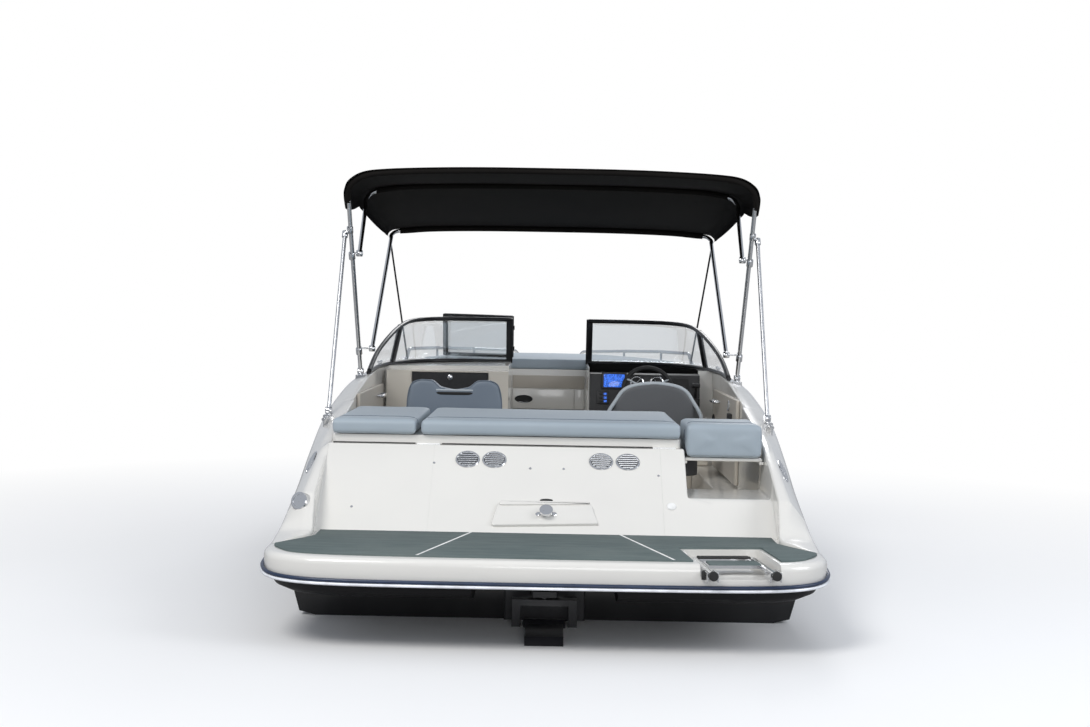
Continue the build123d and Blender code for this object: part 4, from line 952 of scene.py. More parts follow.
# %% Seats and cushions
def groove(obj, axis, at, depth=0.004, reach=0.016, above=None):
    """A sewn line pressed into the piece at one value of an axis."""
    for v in obj.data.vertices:
        near = abs(v.co[axis] - at)
        if near < reach and (above is None or v.co.z > above):
            v.co -= v.normal * depth * (1 - near / reach) ** 2


def soften(name, node, material, body, voxel, rounds, grooves=()):
    """A stuffed piece made from the frame's solid of the same name."""
    mesh = nodes[node].data.copy()
    mesh.transform(nodes[node].matrix_world)
    obj = placed(name, mesh)
    obj.modifiers.new("weld", "WELD").merge_threshold = 1e-5
    even_skin(obj, voxel)
    smooth = obj.modifiers.new("smooth", "SMOOTH")
    smooth.factor, smooth.iterations = 0.5, rounds
    apply_modifiers(obj)
    for line in grooves:
        groove(obj, *line)
    finish_piece(obj, material, body, 60, [node])


soften("bench_pads", "bench_cushions", pad_blue, "root", 0.011, 9,
       ((0, -0.41), (0, 0.12), (1, 1.62, 0.004, 0.016, 0.52)))
soften("bow_pads", "bow_cushions", pad_blue, "root", 0.013, 7,
       ((1, 3.98), (1, 4.42), (0, 0, 0.003)))
soften("helm_seat_pads", "helm_seat", helm_grey, "helm_seat", 0.010, 8)
soften("port_seat_pad", "port_seat_cushion", slate_blue, "root", 0.010, 8,
       ((1, 2.36), (0, -0.56)))
soften("port_seat_back_pad", "port_seat_back", slate_blue, "port_seat_back", 0.009, 7)


def arch(half, middle, y, steps):
    """A smooth line over a seat's back, from the (half-width, height) points of its port side."""
    port = [(middle - x, y, z) for x, z in half]
    starboard = [(middle + x, y, z) for x, z in reversed(half[:-1])]
    return smooth_path(port + starboard, steps)


# Pale roll round the helm seat's back, then the slot, piping and handle of the port seat's. The slot is a
# black plate: painted shade for the hand hole under the handle
roll_half = ((0.281, 0.700), (0.281, 0.830), (0.226, 0.930), (0.186, 0.985), (0.120, 1.016), (0, 1.030))
bar("helm_seat_roll", arch(roll_half, 0.633, 1.878, 6), 0.0115, trim_grey, "helm_seat", 14)
slot_x = -0.560
slot_half = ((0, 0.939), (0.085, 0.940), (0.104, 0.946), (0.109, 0.953), (0.096, 0.957), (0, 0.957))
slot_outline = [(slot_x + x, -z) for x, z in slot_half] + [(slot_x - x, -z) for x, z in slot_half[-2:0:-1]]
# A black plate on the seat back: painted shade in the hand hole under the handle
slot_shade_plate = plate("port_seat_slot_shade", slot_outline, 0.0, 0.006, 0.002, rubber_black, "port_seat_back")
slot_shade_plate.data.transform(Matrix.Translation((0, 1.8880, 0)) @ Matrix.Rotation(pi / 2, 4, "X")
                         @ Matrix.Scale(-1, 4, (0, 1, 0)))
slot_shade_plate.data.flip_normals()
lobes = ((0.281, 0.700), (0.281, 0.900), (0.259, 0.997), (0.209, 1.024), (0.132, 1.020), (0.088, 0.981),
         (0, 0.964))
bar("port_seat_piping", arch(lobes, slot_x, 1.8905, 5), 0.0040, piping_dark, "port_seat_back", 10)
bar("port_seat_handle", [(slot_x + x, 1.8885, 0.9675) for x in (-0.110, 0.110)], 0.0060, trim_grey,
    "port_seat_back", 12)
print("seats done")

# %% [markdown]
# Straight-sided parts keep the frame's own solids: consoles, boards, tubes, hardware and the drive. They get
# their material, and a small rounded edge where a real moulding or casting would have one.


# %% Parts kept from the frame
def keep(node, material, edge):
    """A frame solid with its material, and rounded edges if an edge size is given."""
    obj = nodes[node]
    obj.data.materials.clear()
    obj.data.materials.append(material)
    if edge:
        obj.modifiers.new("weld", "WELD").merge_threshold = 1e-5
        bevel = obj.modifiers.new("edge", "BEVEL")
        bevel.width, bevel.segments, bevel.limit_method = edge, 2, "ANGLE"
        bevel.angle_limit = radians(35)
        bevel.harden_normals = True


for material, edge, names in (
    (deck_white, 0.008, "filler_board"), (deck_white, 0.010, "engine_hatch_lid"),
    (deck_white, 0.014, "seat_bases"), (console_cream, 0.014, "port_console helm_console"),
    (liner_beige, 0.010, "side_liners"), (liner_beige, 0.012, "bow_step"),
    (floor_carpet, 0.003, "cockpit_floor_mat"), (dash_black, 0.010, "helm_dash"),
    (dash_black, 0.005, "glovebox_door throttle_control"), (engine_paint, 0.03, "engine_block"),
    (steel, 0, "bow_fittings bow_rails tow_eye ladder_upper ladder_middle ladder_lower trim_ram_rods"),
    (steel, 0.002, "ladder_brackets sun_top_fittings"), (steel, 0.003, "helm_seat_pedestal"),
    (steel, 0.004, "cleats"), (lens_blue, 0.004, "underwater_lights"),
    (screen_clear, 0, "screen_gate_glass"), (pole_white, 0, "sun_top_poles"),
    (drive_black, 0.002, "trim_ram_cylinders"), (drive_black, 0.005, "steering_ring"),
    (drive_black, 0.008, "gimbal_housing"), (drive_black, 0.010, "drive_leg"),
):
    for node in names.split():
        keep(node, material, edge)

# %% [markdown]
# The transom face slopes forward. Its details are laid in the face's own plane: a raised panel with the tow
# eye, four louvred steel vents, a drain cap and cover screws. The hatch's hinges and gaskets ride on it, and
# the panels and the speaker seen through the walk-through are on the bulkhead before the bow well.

# %% Transom details
up_face = Vector((0, 0.430, 0.375)).normalized()
face_place = Matrix.Translation((0, stern_y, platform_top)) @ Matrix((
    (1, 0, 0, 0), (0, up_face.y, -up_face.z, 0), (0, up_face.z, up_face.y, 0), (0, 0, 0, 1)))
face_out = Vector((0, -up_face.z, up_face.y))


def on_face(x, z, out=0.0):
    """A point of the transom face at this width and height."""
    return face_place @ Vector((x, (z - platform_top) / up_face.z, out))


def face_panel(name, outline, thick):
    """A raised panel on the face from (x, height) corners."""
    pts = [(x, (z - platform_top) / up_face.z) for x, z in outline]
    pts = rounded(pts + [pts[0], pts[1]], [0.02] * len(pts), 4)[5:-1]
    plate(name, pts, -0.004, thick, 0.006, deck_white).data.transform(face_place)


face_panel("tow_panel", ((-0.262, 0.428), (0.250, 0.428), (0.218, 0.522), (-0.232, 0.522)), 0.014)
face_panel("tow_panel_shelf", ((-0.226, 0.508), (0.212, 0.508), (0.206, 0.528), (-0.220, 0.528)), 0.022)
disc("face_slot", on_face(0, 0.541), face_out, [(0.031, -0.001), (0.031, 0.002), (0.027, 0.003)],
     rubber_black, squeeze=0.28, x_dir=(1, 0, 0))
disc("drain_cap", on_face(0.600, 0.524), face_out,
     [(0.0225, -0.002), (0.0225, 0.003), (0.019, 0.006), (0.012, 0.0065)], plastic_white)
for k, (x, z) in enumerate(((-0.556, 0.694), (-0.082, 0.677), (0.082, 0.677), (0.546, 0.655), (-0.93, 0.50))):
    disc("cover_screw_%d" % k, on_face(x, z), face_out, [(0.007, -0.001), (0.006, 0.0025), (0.003, 0.003)],
         steel, sides=14)
for k, x in enumerate((-0.593, 0.583)):
    block("hatch_hinge_%d" % k, (x - 0.058, 0.404, 0.766), (x + 0.058, 0.4225, 0.7815), 0.004, plastic_white,
          "hatch")
    dots = [(x - 0.048 + 0.012 * j, 0.4035, 0.774) for j in range(9)]
    join("hatch_hinge_dots_%d" % k, [
        disc("dot", dot, (0, -1, 0), [(0.0028, -0.001), (0.0024, 0.0015)], steel, "hatch", 12) for dot in dots
    ])
for k, (low_x, high_x) in enumerate(((-1.070, -0.658), (-0.528, 0.525))):
    block("hatch_gasket_%d" % k, (low_x, 0.4205, 0.7770), (high_x, 0.4300, 0.7815), 0.002, rubber_black,
          "hatch")
for name, x_low, x_high, z_low, z_high, material in (
    ("bulkhead_upper", -0.255, 0.255, 0.900, 0.990, liner_beige),
    ("bulkhead_panel", -0.255, 0.182, 0.752, 0.893, deck_white),
    ("bulkhead_door", 0.187, 0.255, 0.752, 0.893, deck_white),
    ("bulkhead_shadow", -0.255, 0.255, 0.744, 0.750, rubber_black),
):
    block(name, (x_low, 3.5920, z_low), (x_high, 3.6015, z_high), 0.004, material)
disc("bulkhead_speaker", (-0.175, 3.5920, 0.822), (0, -1, 0),
     [(0.064, -0.002), (0.064, 0.002), (0.056, 0.004), (0.050, 0.001)], rubber_black, squeeze=0.44,
     x_dir=(1, 0, 0))
trim_arc = [(-0.175 - 0.060 * cos(a), 3.5878, 0.822 + 0.024 * sin(a)) for a in steps_between(-2.1, -1.0, 8)]
bar("speaker_trim", trim_arc, 0.0022, steel, sides=8)
for side in (-1, 1):
    disc("tow_ear_%d" % (side + 1), on_face(side * 0.038, 0.474, 0.013), face_out,
         [(0.013, -0.002), (0.013, 0.005), (0.009, 0.008)], steel, sides=20)


def vent(name, centre, normal, along, half_long, half_wide, slats):
    """An oval steel vent with slats across a black disc, painted shade for the inside of its opening."""
    normal, along = Vector(normal).normalized(), Vector(along).normalized()
    across = normal.cross(along)
    squeeze = half_wide / half_long
    rim_rings = ((1, -0.002), (1, 0.003), (0.95, 0.006), (0.86, 0.0065), (0.82, 0.003))
    rim = disc(name, centre, normal, [(half_long * share, z) for share, z in rim_rings], steel, "root", 40,
               squeeze, along)
    # A black disc behind the slats: painted shade for the inside of the opening
    disc(name + "_dark", Vector(centre) + normal * 0.0032, normal,
         [(half_long * 0.83, 0.0), (half_long * 0.82, 0.0003)], rubber_black, "root", 40, squeeze, along)
    strips = []
    for k in range(slats):
        v = (-0.72 + 1.44 * k / (slats - 1)) * half_wide
        reach = half_long * 0.80 * sqrt(max(0.02, 1 - (v / (half_wide * 0.86)) ** 2))
        middle = Vector(centre) + across * v + normal * 0.0055
        ends = [middle - along * reach, middle + along * reach]
        strips.append(bar("slat", ends, half_wide * 0.085, steel, sides=8))
    join(name + "_slats", strips)
    return rim


for k, x in enumerate((-0.392, -0.260, 0.266, 0.398)):
    first = vent("transom_vent_%d" % k, on_face(x, 0.712), face_out, (1, 0, 0), 0.060, 0.056, 7)
    if k == 0:
        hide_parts("transom_vents")


def side_place(y, side, spot):
    """A point of the deck's outer band between shoulder (0) and crown (1), its normal and the way ahead."""

    def shoulder_and_band(at):
        if at < stern_y:
            crown, crown_z, shoulder, shoulder_z = through(quarter_rows, at)[1:]
        else:
            shoulder, shoulder_z, crown, crown_z = deck_at(at)
        band = Vector((side * (crown - shoulder), 0, crown_z - shoulder_z))
        return Vector((side * shoulder, at, shoulder_z)), band

    edge, band = shoulder_and_band(y)
    next_edge, next_band = shoulder_and_band(y + 0.02)
    here = edge + band * spot
    ahead = next_edge + next_band * spot - here
    normal = band.cross(ahead).normalized()
    return here, normal if normal.z > 0 else -normal, ahead.normalized()


for side in (-1, 1):
    here, normal, ahead = side_place(0.37, side, 0.62)
    vent("quarter_vent_%d" % (side + 1), here - normal * 0.002, normal, ahead, 0.112, 0.038, 9)
here, normal, ahead = side_place(-0.06, -1, 0.86)
cap_rings = [(0.043, -0.035), (0.043, 0.006), (0.038, 0.010), (0.029, 0.0105), (0.028, 0.008), (0.004, 0.008)]
disc("fuel_cap", here + 0.012 * normal, normal - 0.5 * ahead, cap_rings, steel)
print("transom done")

# %% [markdown]
# The ladder lies folded in its recess: three telescoped pairs of tube with treads. Rubber caps close the ends
# of the outer rails. The wide upper tread has a foam pad, and the two narrow ones have rubber pads.

# %% Ladder trim
for side in (-1, 1):
    bar("ladder_cap_%d" % (side + 1),
        [ladder_turn @ Vector((side * 0.134, y, 0)) for y in (-0.0300, -0.0292, -0.012, -0.008)],
        [0.0165, 0.0198, 0.0198, 0.0185], rubber_black, "ladder_upper", 20)
block("ladder_tread_upper", (-0.112, 0.152, 0.012), (0.112, 0.248, 0.0215), 0.006, mat_foam, "ladder_upper",
      turn=ladder_turn)
for name, body, low_y, high_y, top in (("middle", "ladder_middle", 0.356, 0.384, 0.0128),
                                       ("lower", "ladder_lower", 0.394, 0.420, 0.0098)):
    block("ladder_tread_" + name, (-0.116, low_y, top - 0.004), (0.116, high_y, top + 0.004), 0.003,
          rubber_black, body, turn=ladder_turn)
disc("ladder_latch", ladder_turn @ Vector((-0.158, 0.05, -0.006)), (0, 0, 1),
     [(0.012, -0.02), (0.012, 0.012), (0.008, 0.018)], rubber_black, sides=20)

# %% [markdown]
# The windscreen is bent glass in a slim black frame. The front panes turn the corner in one curve, and a
# stile joins them to side panes that fall away to the gunwale. The gate in the middle stands open to port.

# %% Windscreen
# Foot and top of the glass on one side, from the gate post aft
screen_rows = (
    ((0.270, 3.450, 1.0924), (0.270, 3.372, 1.384)), ((0.600, 3.392, 1.094), (0.590, 3.308, 1.384)),
    ((0.830, 3.290, 1.093), (0.808, 3.208, 1.380)), ((0.960, 3.140, 1.090), (0.930, 3.075, 1.366)),
    ((1.045, 2.940, 1.082), (0.990, 2.900, 1.330)), ((1.095, 2.680, 1.072), (1.040, 2.670, 1.262)),
    ((1.110, 2.440, 1.062), (1.088, 2.430, 1.165)), ((1.114, 2.210, 1.050), (1.109, 2.210, 1.062)),
)
stile_at = 4


def beam(name, start, end, wide, half_wide, half_thick, body="root"):
    """A flat black bar with rounded edges between two points."""
    start, end = Vector(start), Vector(end)
    run = (end - start).normalized()
    wide = Vector(wide)
    wide = (wide - run * wide.dot(run)).normalized()
    thick = run.cross(wide)
    turn = Matrix.Translation(start) @ Matrix((wide, thick, run)).transposed().to_4x4()
    return block(name, (-half_wide, -half_thick, -half_thick),
                 (half_wide, half_thick, (end - start).length + half_thick),
                 min(half_wide, half_thick) * 0.45, frame_black, body, turn=turn)


# The gate is drawn closed and swung open on its hinge line
screen_foot_z = 1.0924
screen_lean = Vector((0, -0.258074, 0.966125))
gate_hinge = Vector((-0.250, 3.476, screen_foot_z))
gate_swing = (Matrix.Translation(gate_hinge) @ Matrix.Rotation(radians(177), 4, screen_lean)
              @ Matrix.Translation(-gate_hinge))
gate_low, gate_high, knuckle_tall = 0.024, 0.306, 0.028
gate_ends = [gate_swing @ (Vector((side * 0.231, 3.450, screen_foot_z)) + screen_lean * up)
             for up in (gate_low, gate_high) for side in (-1, 1)]
across = (gate_ends[1] - gate_ends[0]).normalized()
gate_bars = [beam("gate_bar", gate_ends[a], gate_ends[b], screen_lean, 0.012, 0.009, "screen_gate")
             for a, b in ((0, 1), (2, 3))]
gate_bars += [beam("gate_bar", gate_ends[a], gate_ends[b], across, 0.018, 0.0095, "screen_gate")
              for a, b in ((0, 2), (1, 3))]
for up in (0.080, 0.230):
    low = gate_hinge + screen_lean * up
    middle = low + screen_lean * (knuckle_tall / 2)
    gate_bars.append(bar("gate_knuckle", [low, low + screen_lean * knuckle_tall], 0.0068, frame_black,
                         "screen_gate", 14))
    target = gate_ends[0].lerp(gate_ends[2], (up + knuckle_tall / 2 - gate_low) / (gate_high - gate_low))
    gate_bars.append(beam("gate_arm", middle, target, screen_lean, 0.012, 0.0035, "screen_gate"))
join("gate_frame", gate_bars, ["screen_gate_frame"])
for side, word in ((-1, "port"), (1, "starboard")):
    foot, top = ([Vector(p) for p in smooth_path([(side * row[k][0], *row[k][1:]) for row in screen_rows], 8)]
                 for k in (0, 1))
    stile = stile_at * 8
    out = Vector((side, 0.4, 0)).normalized()
    for part, low, high in (("front", 0, stile), ("side", stile, len(foot) - 1)):
        rows = [[a.lerp(b, t) + out * 0.006 * 4 * t * (1 - t) for t in steps_between(0, 1, 6)]
                for a, b in zip(foot[low:high + 1], top[low:high + 1])]
        glass = skin("screen_%s_%s" % (part, word), rows)
        thicken(glass, 0.005, 0)
        stands_for = ["windshield_glass"] if (part, side) == ("front", 1) else ()
        finish_piece(glass, screen_clear, "root", 40, stands_for)
    foot_bar = bar("screen_foot_" + word, foot, 0.014, frame_black, sides=12)
    top_bar = bar("screen_top_" + word, top, 0.0145, frame_black, sides=12)
    post_out = Vector((side * 0.008, 0, 0))
    post = beam("screen_post_" + word, foot[0] + post_out, top[0] + post_out, (1, 0, 0), 0.022, 0.0115)
    stile_bar = beam("screen_stile_" + word, foot[stile], top[stile], (side * 0.35, -1, 0), 0.022, 0.012)
    join("screen_frame_" + word, [foot_bar, top_bar, post, stile_bar],
         ["windshield_frame"] if side == 1 else ())
# Black cover over the deck between the dash and the screen's foot, on the helm side
cover_rows = []
screen_foot = [(foot[1], foot[0]) for foot, top in screen_rows[:5]][::-1]
for y, sink in [(2.8445, 0.034), (2.8445, 0.006)] + [(y, 0) for y in [2.850] + steps_between(2.87, 3.40, 12)]:
    crown, crown_z = deck_at(y)[2:]
    reach = min(0.985, np.interp(y, *zip(*screen_foot)) - 0.015)
    cover_rows.append([(x, y, crown_z + 0.003 + 0.012 * (crown - x) / (crown - walk_half) - sink)
                       for x in steps_between(0.268, reach, 14)])
helm_cover = skin("helm_cover", cover_rows)
thicken(helm_cover, 0.0025, -1)
finish_piece(helm_cover, dash_cloth)
print("windscreen done")

# %% [markdown]
# The sun top is one sheet of canvas stretched over three steel bows, with pockets sewn round them and rounded
# corners that hang a little below the bows.

# %% Sun top
# Bows. Columns: name, foot forward and height, crown forward and height, canvas half-width, side drop, body
bow_rows = (
    ("main", 2.120, 1.062, 1.330, 2.225, 1.172, 0.205, "root"),
    ("middle", 1.678, 1.765, 2.020, 2.196, 1.150, 0.150, "sun_top_middle"),
    ("front", 2.060, 1.203, 3.130, 2.000, 1.098, 0.120, "sun_top_front"),
)


def bow_ring(row, lift, skirt):
    """Points of the canvas over one bow, from port to starboard, or of its tube."""
    name, foot_y, foot_z, crown_y, crown_z, half, drop, body = row
    down = Vector((0, foot_y - crown_y, foot_z - crown_z)).normalized()
    half_run = (
        (0, 0), (half * 0.30, 0.001), (half * 0.56, 0.008), (half - 0.25, 0.022), (half - 0.115, 0.043),
        (half - 0.035, 0.46 * drop), (half - 0.006, 0.75 * drop), (half, drop), (half - 0.004, drop + skirt),
    )
    run = smooth_path(half_run, 6)
    both = [(-x, d) for x, d in reversed(run[1:])] + [(x, d) for x, d in run]
    return [Vector((x, crown_y, crown_z + lift)) + down * max(d, 0) for x, d in both]


rings = [bow_ring(row, 0.0175, skirt) for row, skirt in zip(bow_rows, (0.075, 0.055, 0.018))]
bow_nodes = ["sun_top_%s_bow" % row[0] for row in bow_rows]
eye_rings = [(0.017, 0), (0.019, 0.003), (0.019, 0.033), (0.017, 0.036)]
tube_runs = []
for row, foot_x, node in zip(bow_rows, (1.152, 1.112, 1.076), bow_nodes):
    tube_run = bow_ring((*row[:5], foot_x, *row[6:]), 0.0, 0.0)
    ends = [Vector((side * foot_x, row[1], row[2])) for side in (-1, 1)]
    tube_runs.append(tube_run)
    tube = bar("bow_" + row[0], [ends[0]] + tube_run + [ends[1]], 0.0125, steel, row[7], 18)
    eyes = [disc("eye", end - Vector((0.018, 0, 0)), (1, 0, 0), eye_rings, steel, row[7], 24) for end in ends]
    join("bow_" + row[0], [tube] + eyes, [node])


def canvas_row(first, second, share):
    """The canvas between two bows: it sags in the middle and dips a little at the seam beside each bow."""
    dip = 0.014 * 4 * share * (1 - share) + (0.003 if 0.02 < min(share, 1 - share) < 0.07 else 0)
    return [a.lerp(b, share) - Vector((0, 0, dip)) for a, b in zip(first, second)]


canvas_shares = (0.0, 0.012, 0.03, 0.06, 0.12, 0.2, 0.3, 0.4, 0.5, 0.6, 0.7, 0.8, 0.88, 0.94, 0.97, 0.988)
canvas_rows = [[p - Vector((0, back, down)) for p in rings[0]] for back, down in ((0.020, 0.002), (0.010, 0))]
canvas_rows += [canvas_row(rings[k], rings[k + 1], share) for k in (0, 1) for share in canvas_shares]
canvas_rows += [rings[2], [p + Vector((0, 0.020, -0.004)) for p in rings[2]]]
canopy = skin("sun_top_canvas", canvas_rows)
thicken(canopy, 0.003, 0)
canopy.data.materials.append(canvas_black)
for face in canopy.data.polygons:
    face.use_smooth = True
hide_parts("sun_top_cover")
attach(canopy, "root")
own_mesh(canopy)
sleeves = [bar("canvas_pocket_" + row[0], run[skip:len(run) - skip], 0.0178, canvas_black, row[7], 12)
           for row, run, skip in zip(bow_rows, tube_runs, (0, 20, 20))]


def run_length(points):
    return round(sum((a - b).length for a, b in zip(points, points[1:])), 2)


flat_width, flat_length = run_length(rings[0]), run_length([row[len(row) // 2] for row in canvas_rows])
print("canvas", flat_width, "x", flat_length)

# %% Straps
for side, word in ((-1, "port"), (1, "starboard")):
    top = Vector((side * 1.076, 3.036532, 1.8875))
    foot = Vector((side * 0.988, 3.440, 1.078))
    run = (foot - top).normalized()
    wide = run.cross(Vector((side, 0.3, 0))).normalized() * 0.0125
    out = run.cross(wide).normalized() * 0.0010
    rows = [[top.lerp(foot, t) + wide * a + out * b for a, b in ((-1, -1), (1, -1), (1, 1), (-1, 1))]
            for t in steps_between(0, 1, 24)]
    strap = skin("sun_top_strap_" + word, rows, closed=True, ends=True)
    strap.data.materials.append(webbing_black)
    if side < 0:
        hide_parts("sun_top_straps")
    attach(strap, "root")
    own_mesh(strap)
    run_length([top, foot])
print("sun top done")

# %% [markdown]
# The helm has a dash moulding, a lit display, a switch panel, a radio, two gauges, a padded wheel and the
# throttle. The port console carries the glovebox door with its latch. On the liners are two grab handles,
# four speakers and a courtesy light.


# %% Helm and console
dash_rise, dash_run = 0.275, 0.050


def dash_point(x, z, out=0.0):
    """A point of the dash's aft face."""
    return Vector((x, 2.680 + (z - 0.770) / dash_rise * dash_run - out, z))


dash_tilt = Matrix.Rotation(-atan2(dash_run, dash_rise), 4, "X")
for name, x, z, half_x, half_z, thick, material in (
    ("display_frame", 0.427, 1.002, 0.082, 0.055, 0.010, dash_black),
    ("display_glass", 0.427, 1.002, 0.068, 0.043, 0.013, display_blue),
    ("switch_panel", 0.355, 0.892, 0.040, 0.042, 0.008, dash_black),
    ("radio", 0.840, 0.985, 0.070, 0.040, 0.009, rubber_black),
):
    block(name, (-half_x, -thick, -half_z), (half_x, 0.004, half_z), 0.004, material,
          turn=Matrix.Translation(dash_point(x, z)) @ dash_tilt)
for k in range(6):
    block("switch_%d" % k, (-0.010, -0.013, -0.007), (0.010, 0.0, 0.007), 0.002,
          display_blue if k % 2 else rubber_black,
          turn=Matrix.Translation(dash_point(0.340 + 0.030 * (k % 2), 0.915 - 0.023 * (k // 2))) @ dash_tilt)
dash_out = Vector((0, -dash_rise, dash_run)).normalized()
gauge_rings = [(0.044, -0.002), (0.044, 0.008), (0.039, 0.010), (0.037, 0.005)]
for k, x in enumerate((0.575, 0.705)):
    disc("gauge_%d" % k, dash_point(x, 0.995), dash_out, gauge_rings, steel)
    disc("gauge_face_%d" % k, dash_point(x, 0.995, 0.005), dash_out, [(0.037, -0.001), (0.036, 0.0005)],
         rubber_black)
    needle_end = dash_point(x, 0.995, 0.008) + Vector((0.020 - 0.035 * k, 0, 0.020))
    bar("gauge_needle_%d" % k, [dash_point(x, 0.995, 0.008), needle_end], 0.0012, needle_white_rail_glint, sides=6)

wheel_middle = Vector((0.640, 2.605, 0.950))
wheel_axis = Vector((0, 0.90631, -0.42262))
wheel_up = Vector((0, -wheel_axis.z, wheel_axis.y))
wheel_side = Vector((1, 0, 0))


def on_wheel(angle, radius, out=0.0):
    """A point in the wheel's plane, its angle measured from the top."""
    return wheel_middle + (wheel_up * cos(angle) + wheel_side * sin(angle)) * radius - wheel_axis * out


wheel_radius = 0.158
bar("wheel_rim", [on_wheel(tau * k / 64, wheel_radius) for k in range(64)], 0.0140, rubber_black,
    "steering_wheel", 16, closed=True, stands_for=["steering_wheel"])
for k, angle in enumerate((pi, pi / 3, -pi / 3)):
    path = [on_wheel(angle, r, 0.010 * (1 - r / wheel_radius)) for r in (0.030, 0.06, 0.10, 0.130, 0.152)]
    bar("wheel_spoke_%d" % k, path, [0.020, 0.017, 0.0135, 0.0130, 0.015], trim_grey, "steering_wheel", 14,
        flat=0.45)
for name, way, rings in (
    ("wheel_hub", -1, [(0.040, -0.010), (0.042, 0.004), (0.036, 0.016), (0.020, 0.021), (0.005, 0.022)]),
    ("wheel_boot", 1, [(0.025, 0.008), (0.026, 0.053), (0.024, 0.0557)]),
):
    disc(name, wheel_middle, wheel_axis * way, rings, dash_black, "steering_wheel")

disc("glovebox_latch", (-0.641, 2.690, 1.007), (0, -1, 0), [(0.017, -0.001), (0.017, 0.004), (0.010, 0.007)],
     steel, "glovebox_door", 24)
for side, word in ((-1, "port"), (1, "starboard")):
    corners = [(side * x, y, 0.900) for x, y in ((1.069, 2.30), (1.030, 2.30), (1.030, 2.48), (1.069, 2.48))]
    bar("grab_handle_" + word, rounded(corners, [0.02, 0.02], 5), 0.0095, steel)
light_rings = [(0.036, -0.001), (0.036, 0.004), (0.030, 0.007), (0.026, 0.005)]
lens_rings = [(0.026, -0.001), (0.026, 0.001), (0.018, 0.003)]
disc("courtesy_light", (1.0712, 1.82, 0.905), (-1, 0, 0), light_rings, steel)
disc("courtesy_lens", (1.0680, 1.82, 0.905), (-1, 0, 0), lens_rings, plastic_white)
block("liner_pocket", (1.050, 1.66, 0.790), (1.0725, 1.76, 0.870), 0.006, rubber_black)
speaker_rings = [(0.085, -0.001), (0.085, 0.004), (0.080, 0.007), (0.070, 0.004), (0.020, 0.002),
                 (0.015, 0.005)]
for side in (-1, 1):
    for y in (2.02, 2.62):
        name = "speaker_%d_%d" % (side + 1, int(y * 10))
        disc(name, (side * 1.0715, y, 0.72), (-side, 0, 0), speaker_rings, dash_black)
print("helm done")

# %% [markdown]
# The drive's leg, ring and rams keep the frame's shapes. The propeller is made anew, because blades are
# twisted: each section is a thin blade shape turned by the pitch at its radius.

# %% Propeller and drive trim
hub_middle = Vector((0, -0.708, -0.620))
pitch_run, root_r, tip_r, off_limit = 0.48, 0.036, 0.181, 0.056
hub_rings = [(0.044, -0.060), (0.046, -0.050), (0.045, 0.030), (0.038, 0.056), (0.034, 0.060)]
# A blade's section. Columns: along the chord, out of it as a share of the thickness
blade_section = (
    (-1, 0), (-0.7, 1), (-0.2, 1.5), (0.3, 1.3), (0.8, 0.6), (1, 0), (0.8, -0.4), (0.3, -0.8), (-0.2, -1),
    (-0.7, -0.6),
)


def blade_ring(r, start):
    """One section of a blade, wrapped round the shaft at its radius."""
    share = (r - root_r) / (tip_r - root_r)
    half_chord = 0.062 * (0.45 + 1.25 * share - 0.2 * share**2) * sqrt(max(0.0, 1 - share**6)) + 0.004
    turn = atan2(pitch_run, tau * r)
    thick = 0.0045 * (1 - share) + 0.0012
    ring = []
    for u, w in blade_section:
        along = u * half_chord * cos(turn) - w * thick * sin(turn)
        off = u * half_chord * sin(turn) + w * thick * cos(turn)
        off = max(-off_limit, min(off_limit, off))
        angle = start + 0.25 * share + along / r
        ring.append(hub_middle + Vector((cos(angle) * r, off, sin(angle) * r)))
    return ring


prop_pieces = [disc("propeller_hub", hub_middle, (0, -1, 0), hub_rings, steel, "propeller", 40)]
for k in range(3):
    rows = [blade_ring(r, tau * k / 3) for r in steps_between(root_r, tip_r, 14)]
    blade = skin("blade", rows, closed=True, ends=True)
    prop_pieces.append(finish_piece(blade, steel, "propeller", 60))
join("propeller_blades", prop_pieces, ["propeller"])
print("propeller done")

# %% [markdown]
# Seen from astern the boat stands on a plain pale floor at its waterline. A large soft light is above it to
# port, with weaker ones to starboard, behind the camera and ahead. Only the camera sees a white background.

# %% Floor, light and camera
bpy.ops.mesh.primitive_plane_add(size=400, location=(0, 0, 0))
floor = bpy.context.object
floor.name = "floor"
floor_shade = Shader("floor", Roughness=0.75, Specular_IOR_Level=0.15)
to_camera = floor_shade.node("LightPath", {}, out="Is Camera Ray")
pale = floor_shade.mix(floor_shade.noise(0.6, 3), (0.90, 0.90, 0.90), (0.92, 0.92, 0.92))
floor_shade.set(Base_Color=floor_shade.mix(to_camera, (0.42, 0.42, 0.42), pale))
away = floor_shade.node("VectorMath", {"operation": "LENGTH"}, floor_shade.node(
    "VectorMath", {"operation": "MULTIPLY"}, floor_shade.place, (1, 0.8, 1)), out="Value")
white = floor_shade.node("Emission", {}, (1, 1, 1, 1), 1.0)
faded = floor_shade.node("MixShader", {}, floor_shade.span(away, 2.2, 6.5) * to_camera)
for k, source in ((1, Wire(floor_shade, floor_shade.surface.outputs[0])), (2, white)):
    floor_shade.feed(faded.socket.node.inputs[k], source)
floor_shade.feed(floor_shade.tree.nodes["Material Output"].inputs["Surface"], faded)
floor.data.materials.append(floor_shade.material)

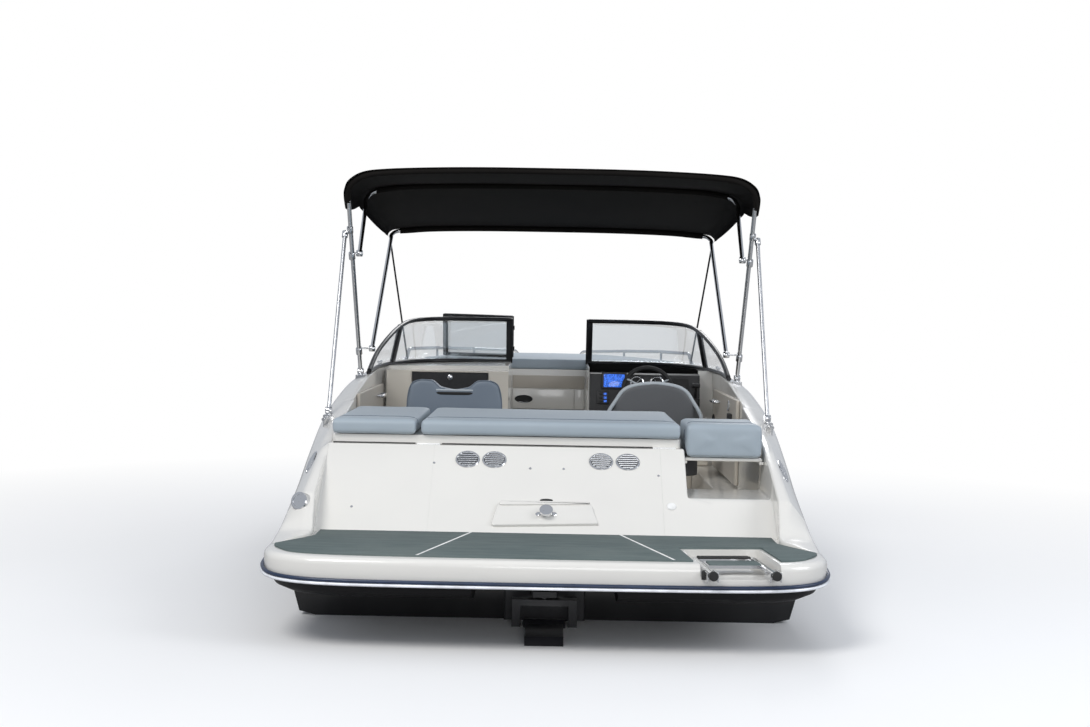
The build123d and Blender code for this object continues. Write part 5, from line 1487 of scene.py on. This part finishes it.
world = bpy.data.worlds.new("studio")
scene.world = world
world.use_nodes = True
tree = world.node_tree
ground = tree.nodes["Background"]
ground.inputs["Color"].default_value = (0.86, 0.91, 1.0, 1)
ground.inputs["Strength"].default_value = 0.55
seen = tree.nodes.new("ShaderNodeBackground")
seen.inputs["Color"].default_value = (1, 1, 1, 1)
ray = tree.nodes.new("ShaderNodeLightPath")
mixed = tree.nodes.new("ShaderNodeMixShader")
tree.links.new(ray.outputs["Is Camera Ray"], mixed.inputs[0])
tree.links.new(ground.outputs[0], mixed.inputs[1])
tree.links.new(seen.outputs[0], mixed.inputs[2])
tree.links.new(mixed.outputs[0], tree.nodes["World Output"].inputs[0])


def soft_light(name, place, aim, size, power, colour=(1, 1, 1)):
    light = bpy.data.lights.new(name, "AREA")
    light.shape, light.size, light.energy, light.color = "DISK", size, power, colour
    lamp_object = bpy.data.objects.new(name, light)
    lamp_object.location = place
    lamp_object.rotation_euler = (Vector(aim) - Vector(place)).to_track_quat("-Z", "Y").to_euler()
    scene.collection.objects.link(lamp_object)


soft_light("key", (-4.0, -5.5, 8.0), (0, 1.5, 0.6), 4.0, 470, (1.0, 0.98, 0.95))
soft_light("fill", (7.0, -3.0, 4.5), (0, 1.0, 0.6), 4.0, 190, (0.95, 0.97, 1.0))
soft_light("front", (1.2, -9.5, 2.6), (0, 2.5, 0.9), 4.0, 120)
soft_light("rim", (1.5, 9.5, 6.5), (0, 2.0, 0.8), 4.0, 260)

scene.view_settings.view_transform = "Standard"
camera_data = bpy.data.cameras.new("camera")
# Focal length and width of the photograph in its own pixels, as found when the camera was fitted to it
focal_pixels, photo_width = 1500, 1090
camera_data.sensor_width = 36.0
camera_data.lens = camera_data.sensor_width * focal_pixels / photo_width
camera = bpy.data.objects.new("camera", camera_data)
scene.collection.objects.link(camera)
camera.location = (0, -7.05, 1.455)
tilt_down, turn_left, lean_over = radians(2.04), radians(0.15), radians(1.05)
camera.matrix_world = (Matrix.Translation(camera.location) @ Matrix.Rotation(turn_left, 4, "Z")
                       @ Matrix.Rotation(pi / 2 - tilt_down, 4, "X") @ Matrix.Rotation(lean_over, 4, "Z"))
scene.camera = camera

bpy.context.view_layer.update()
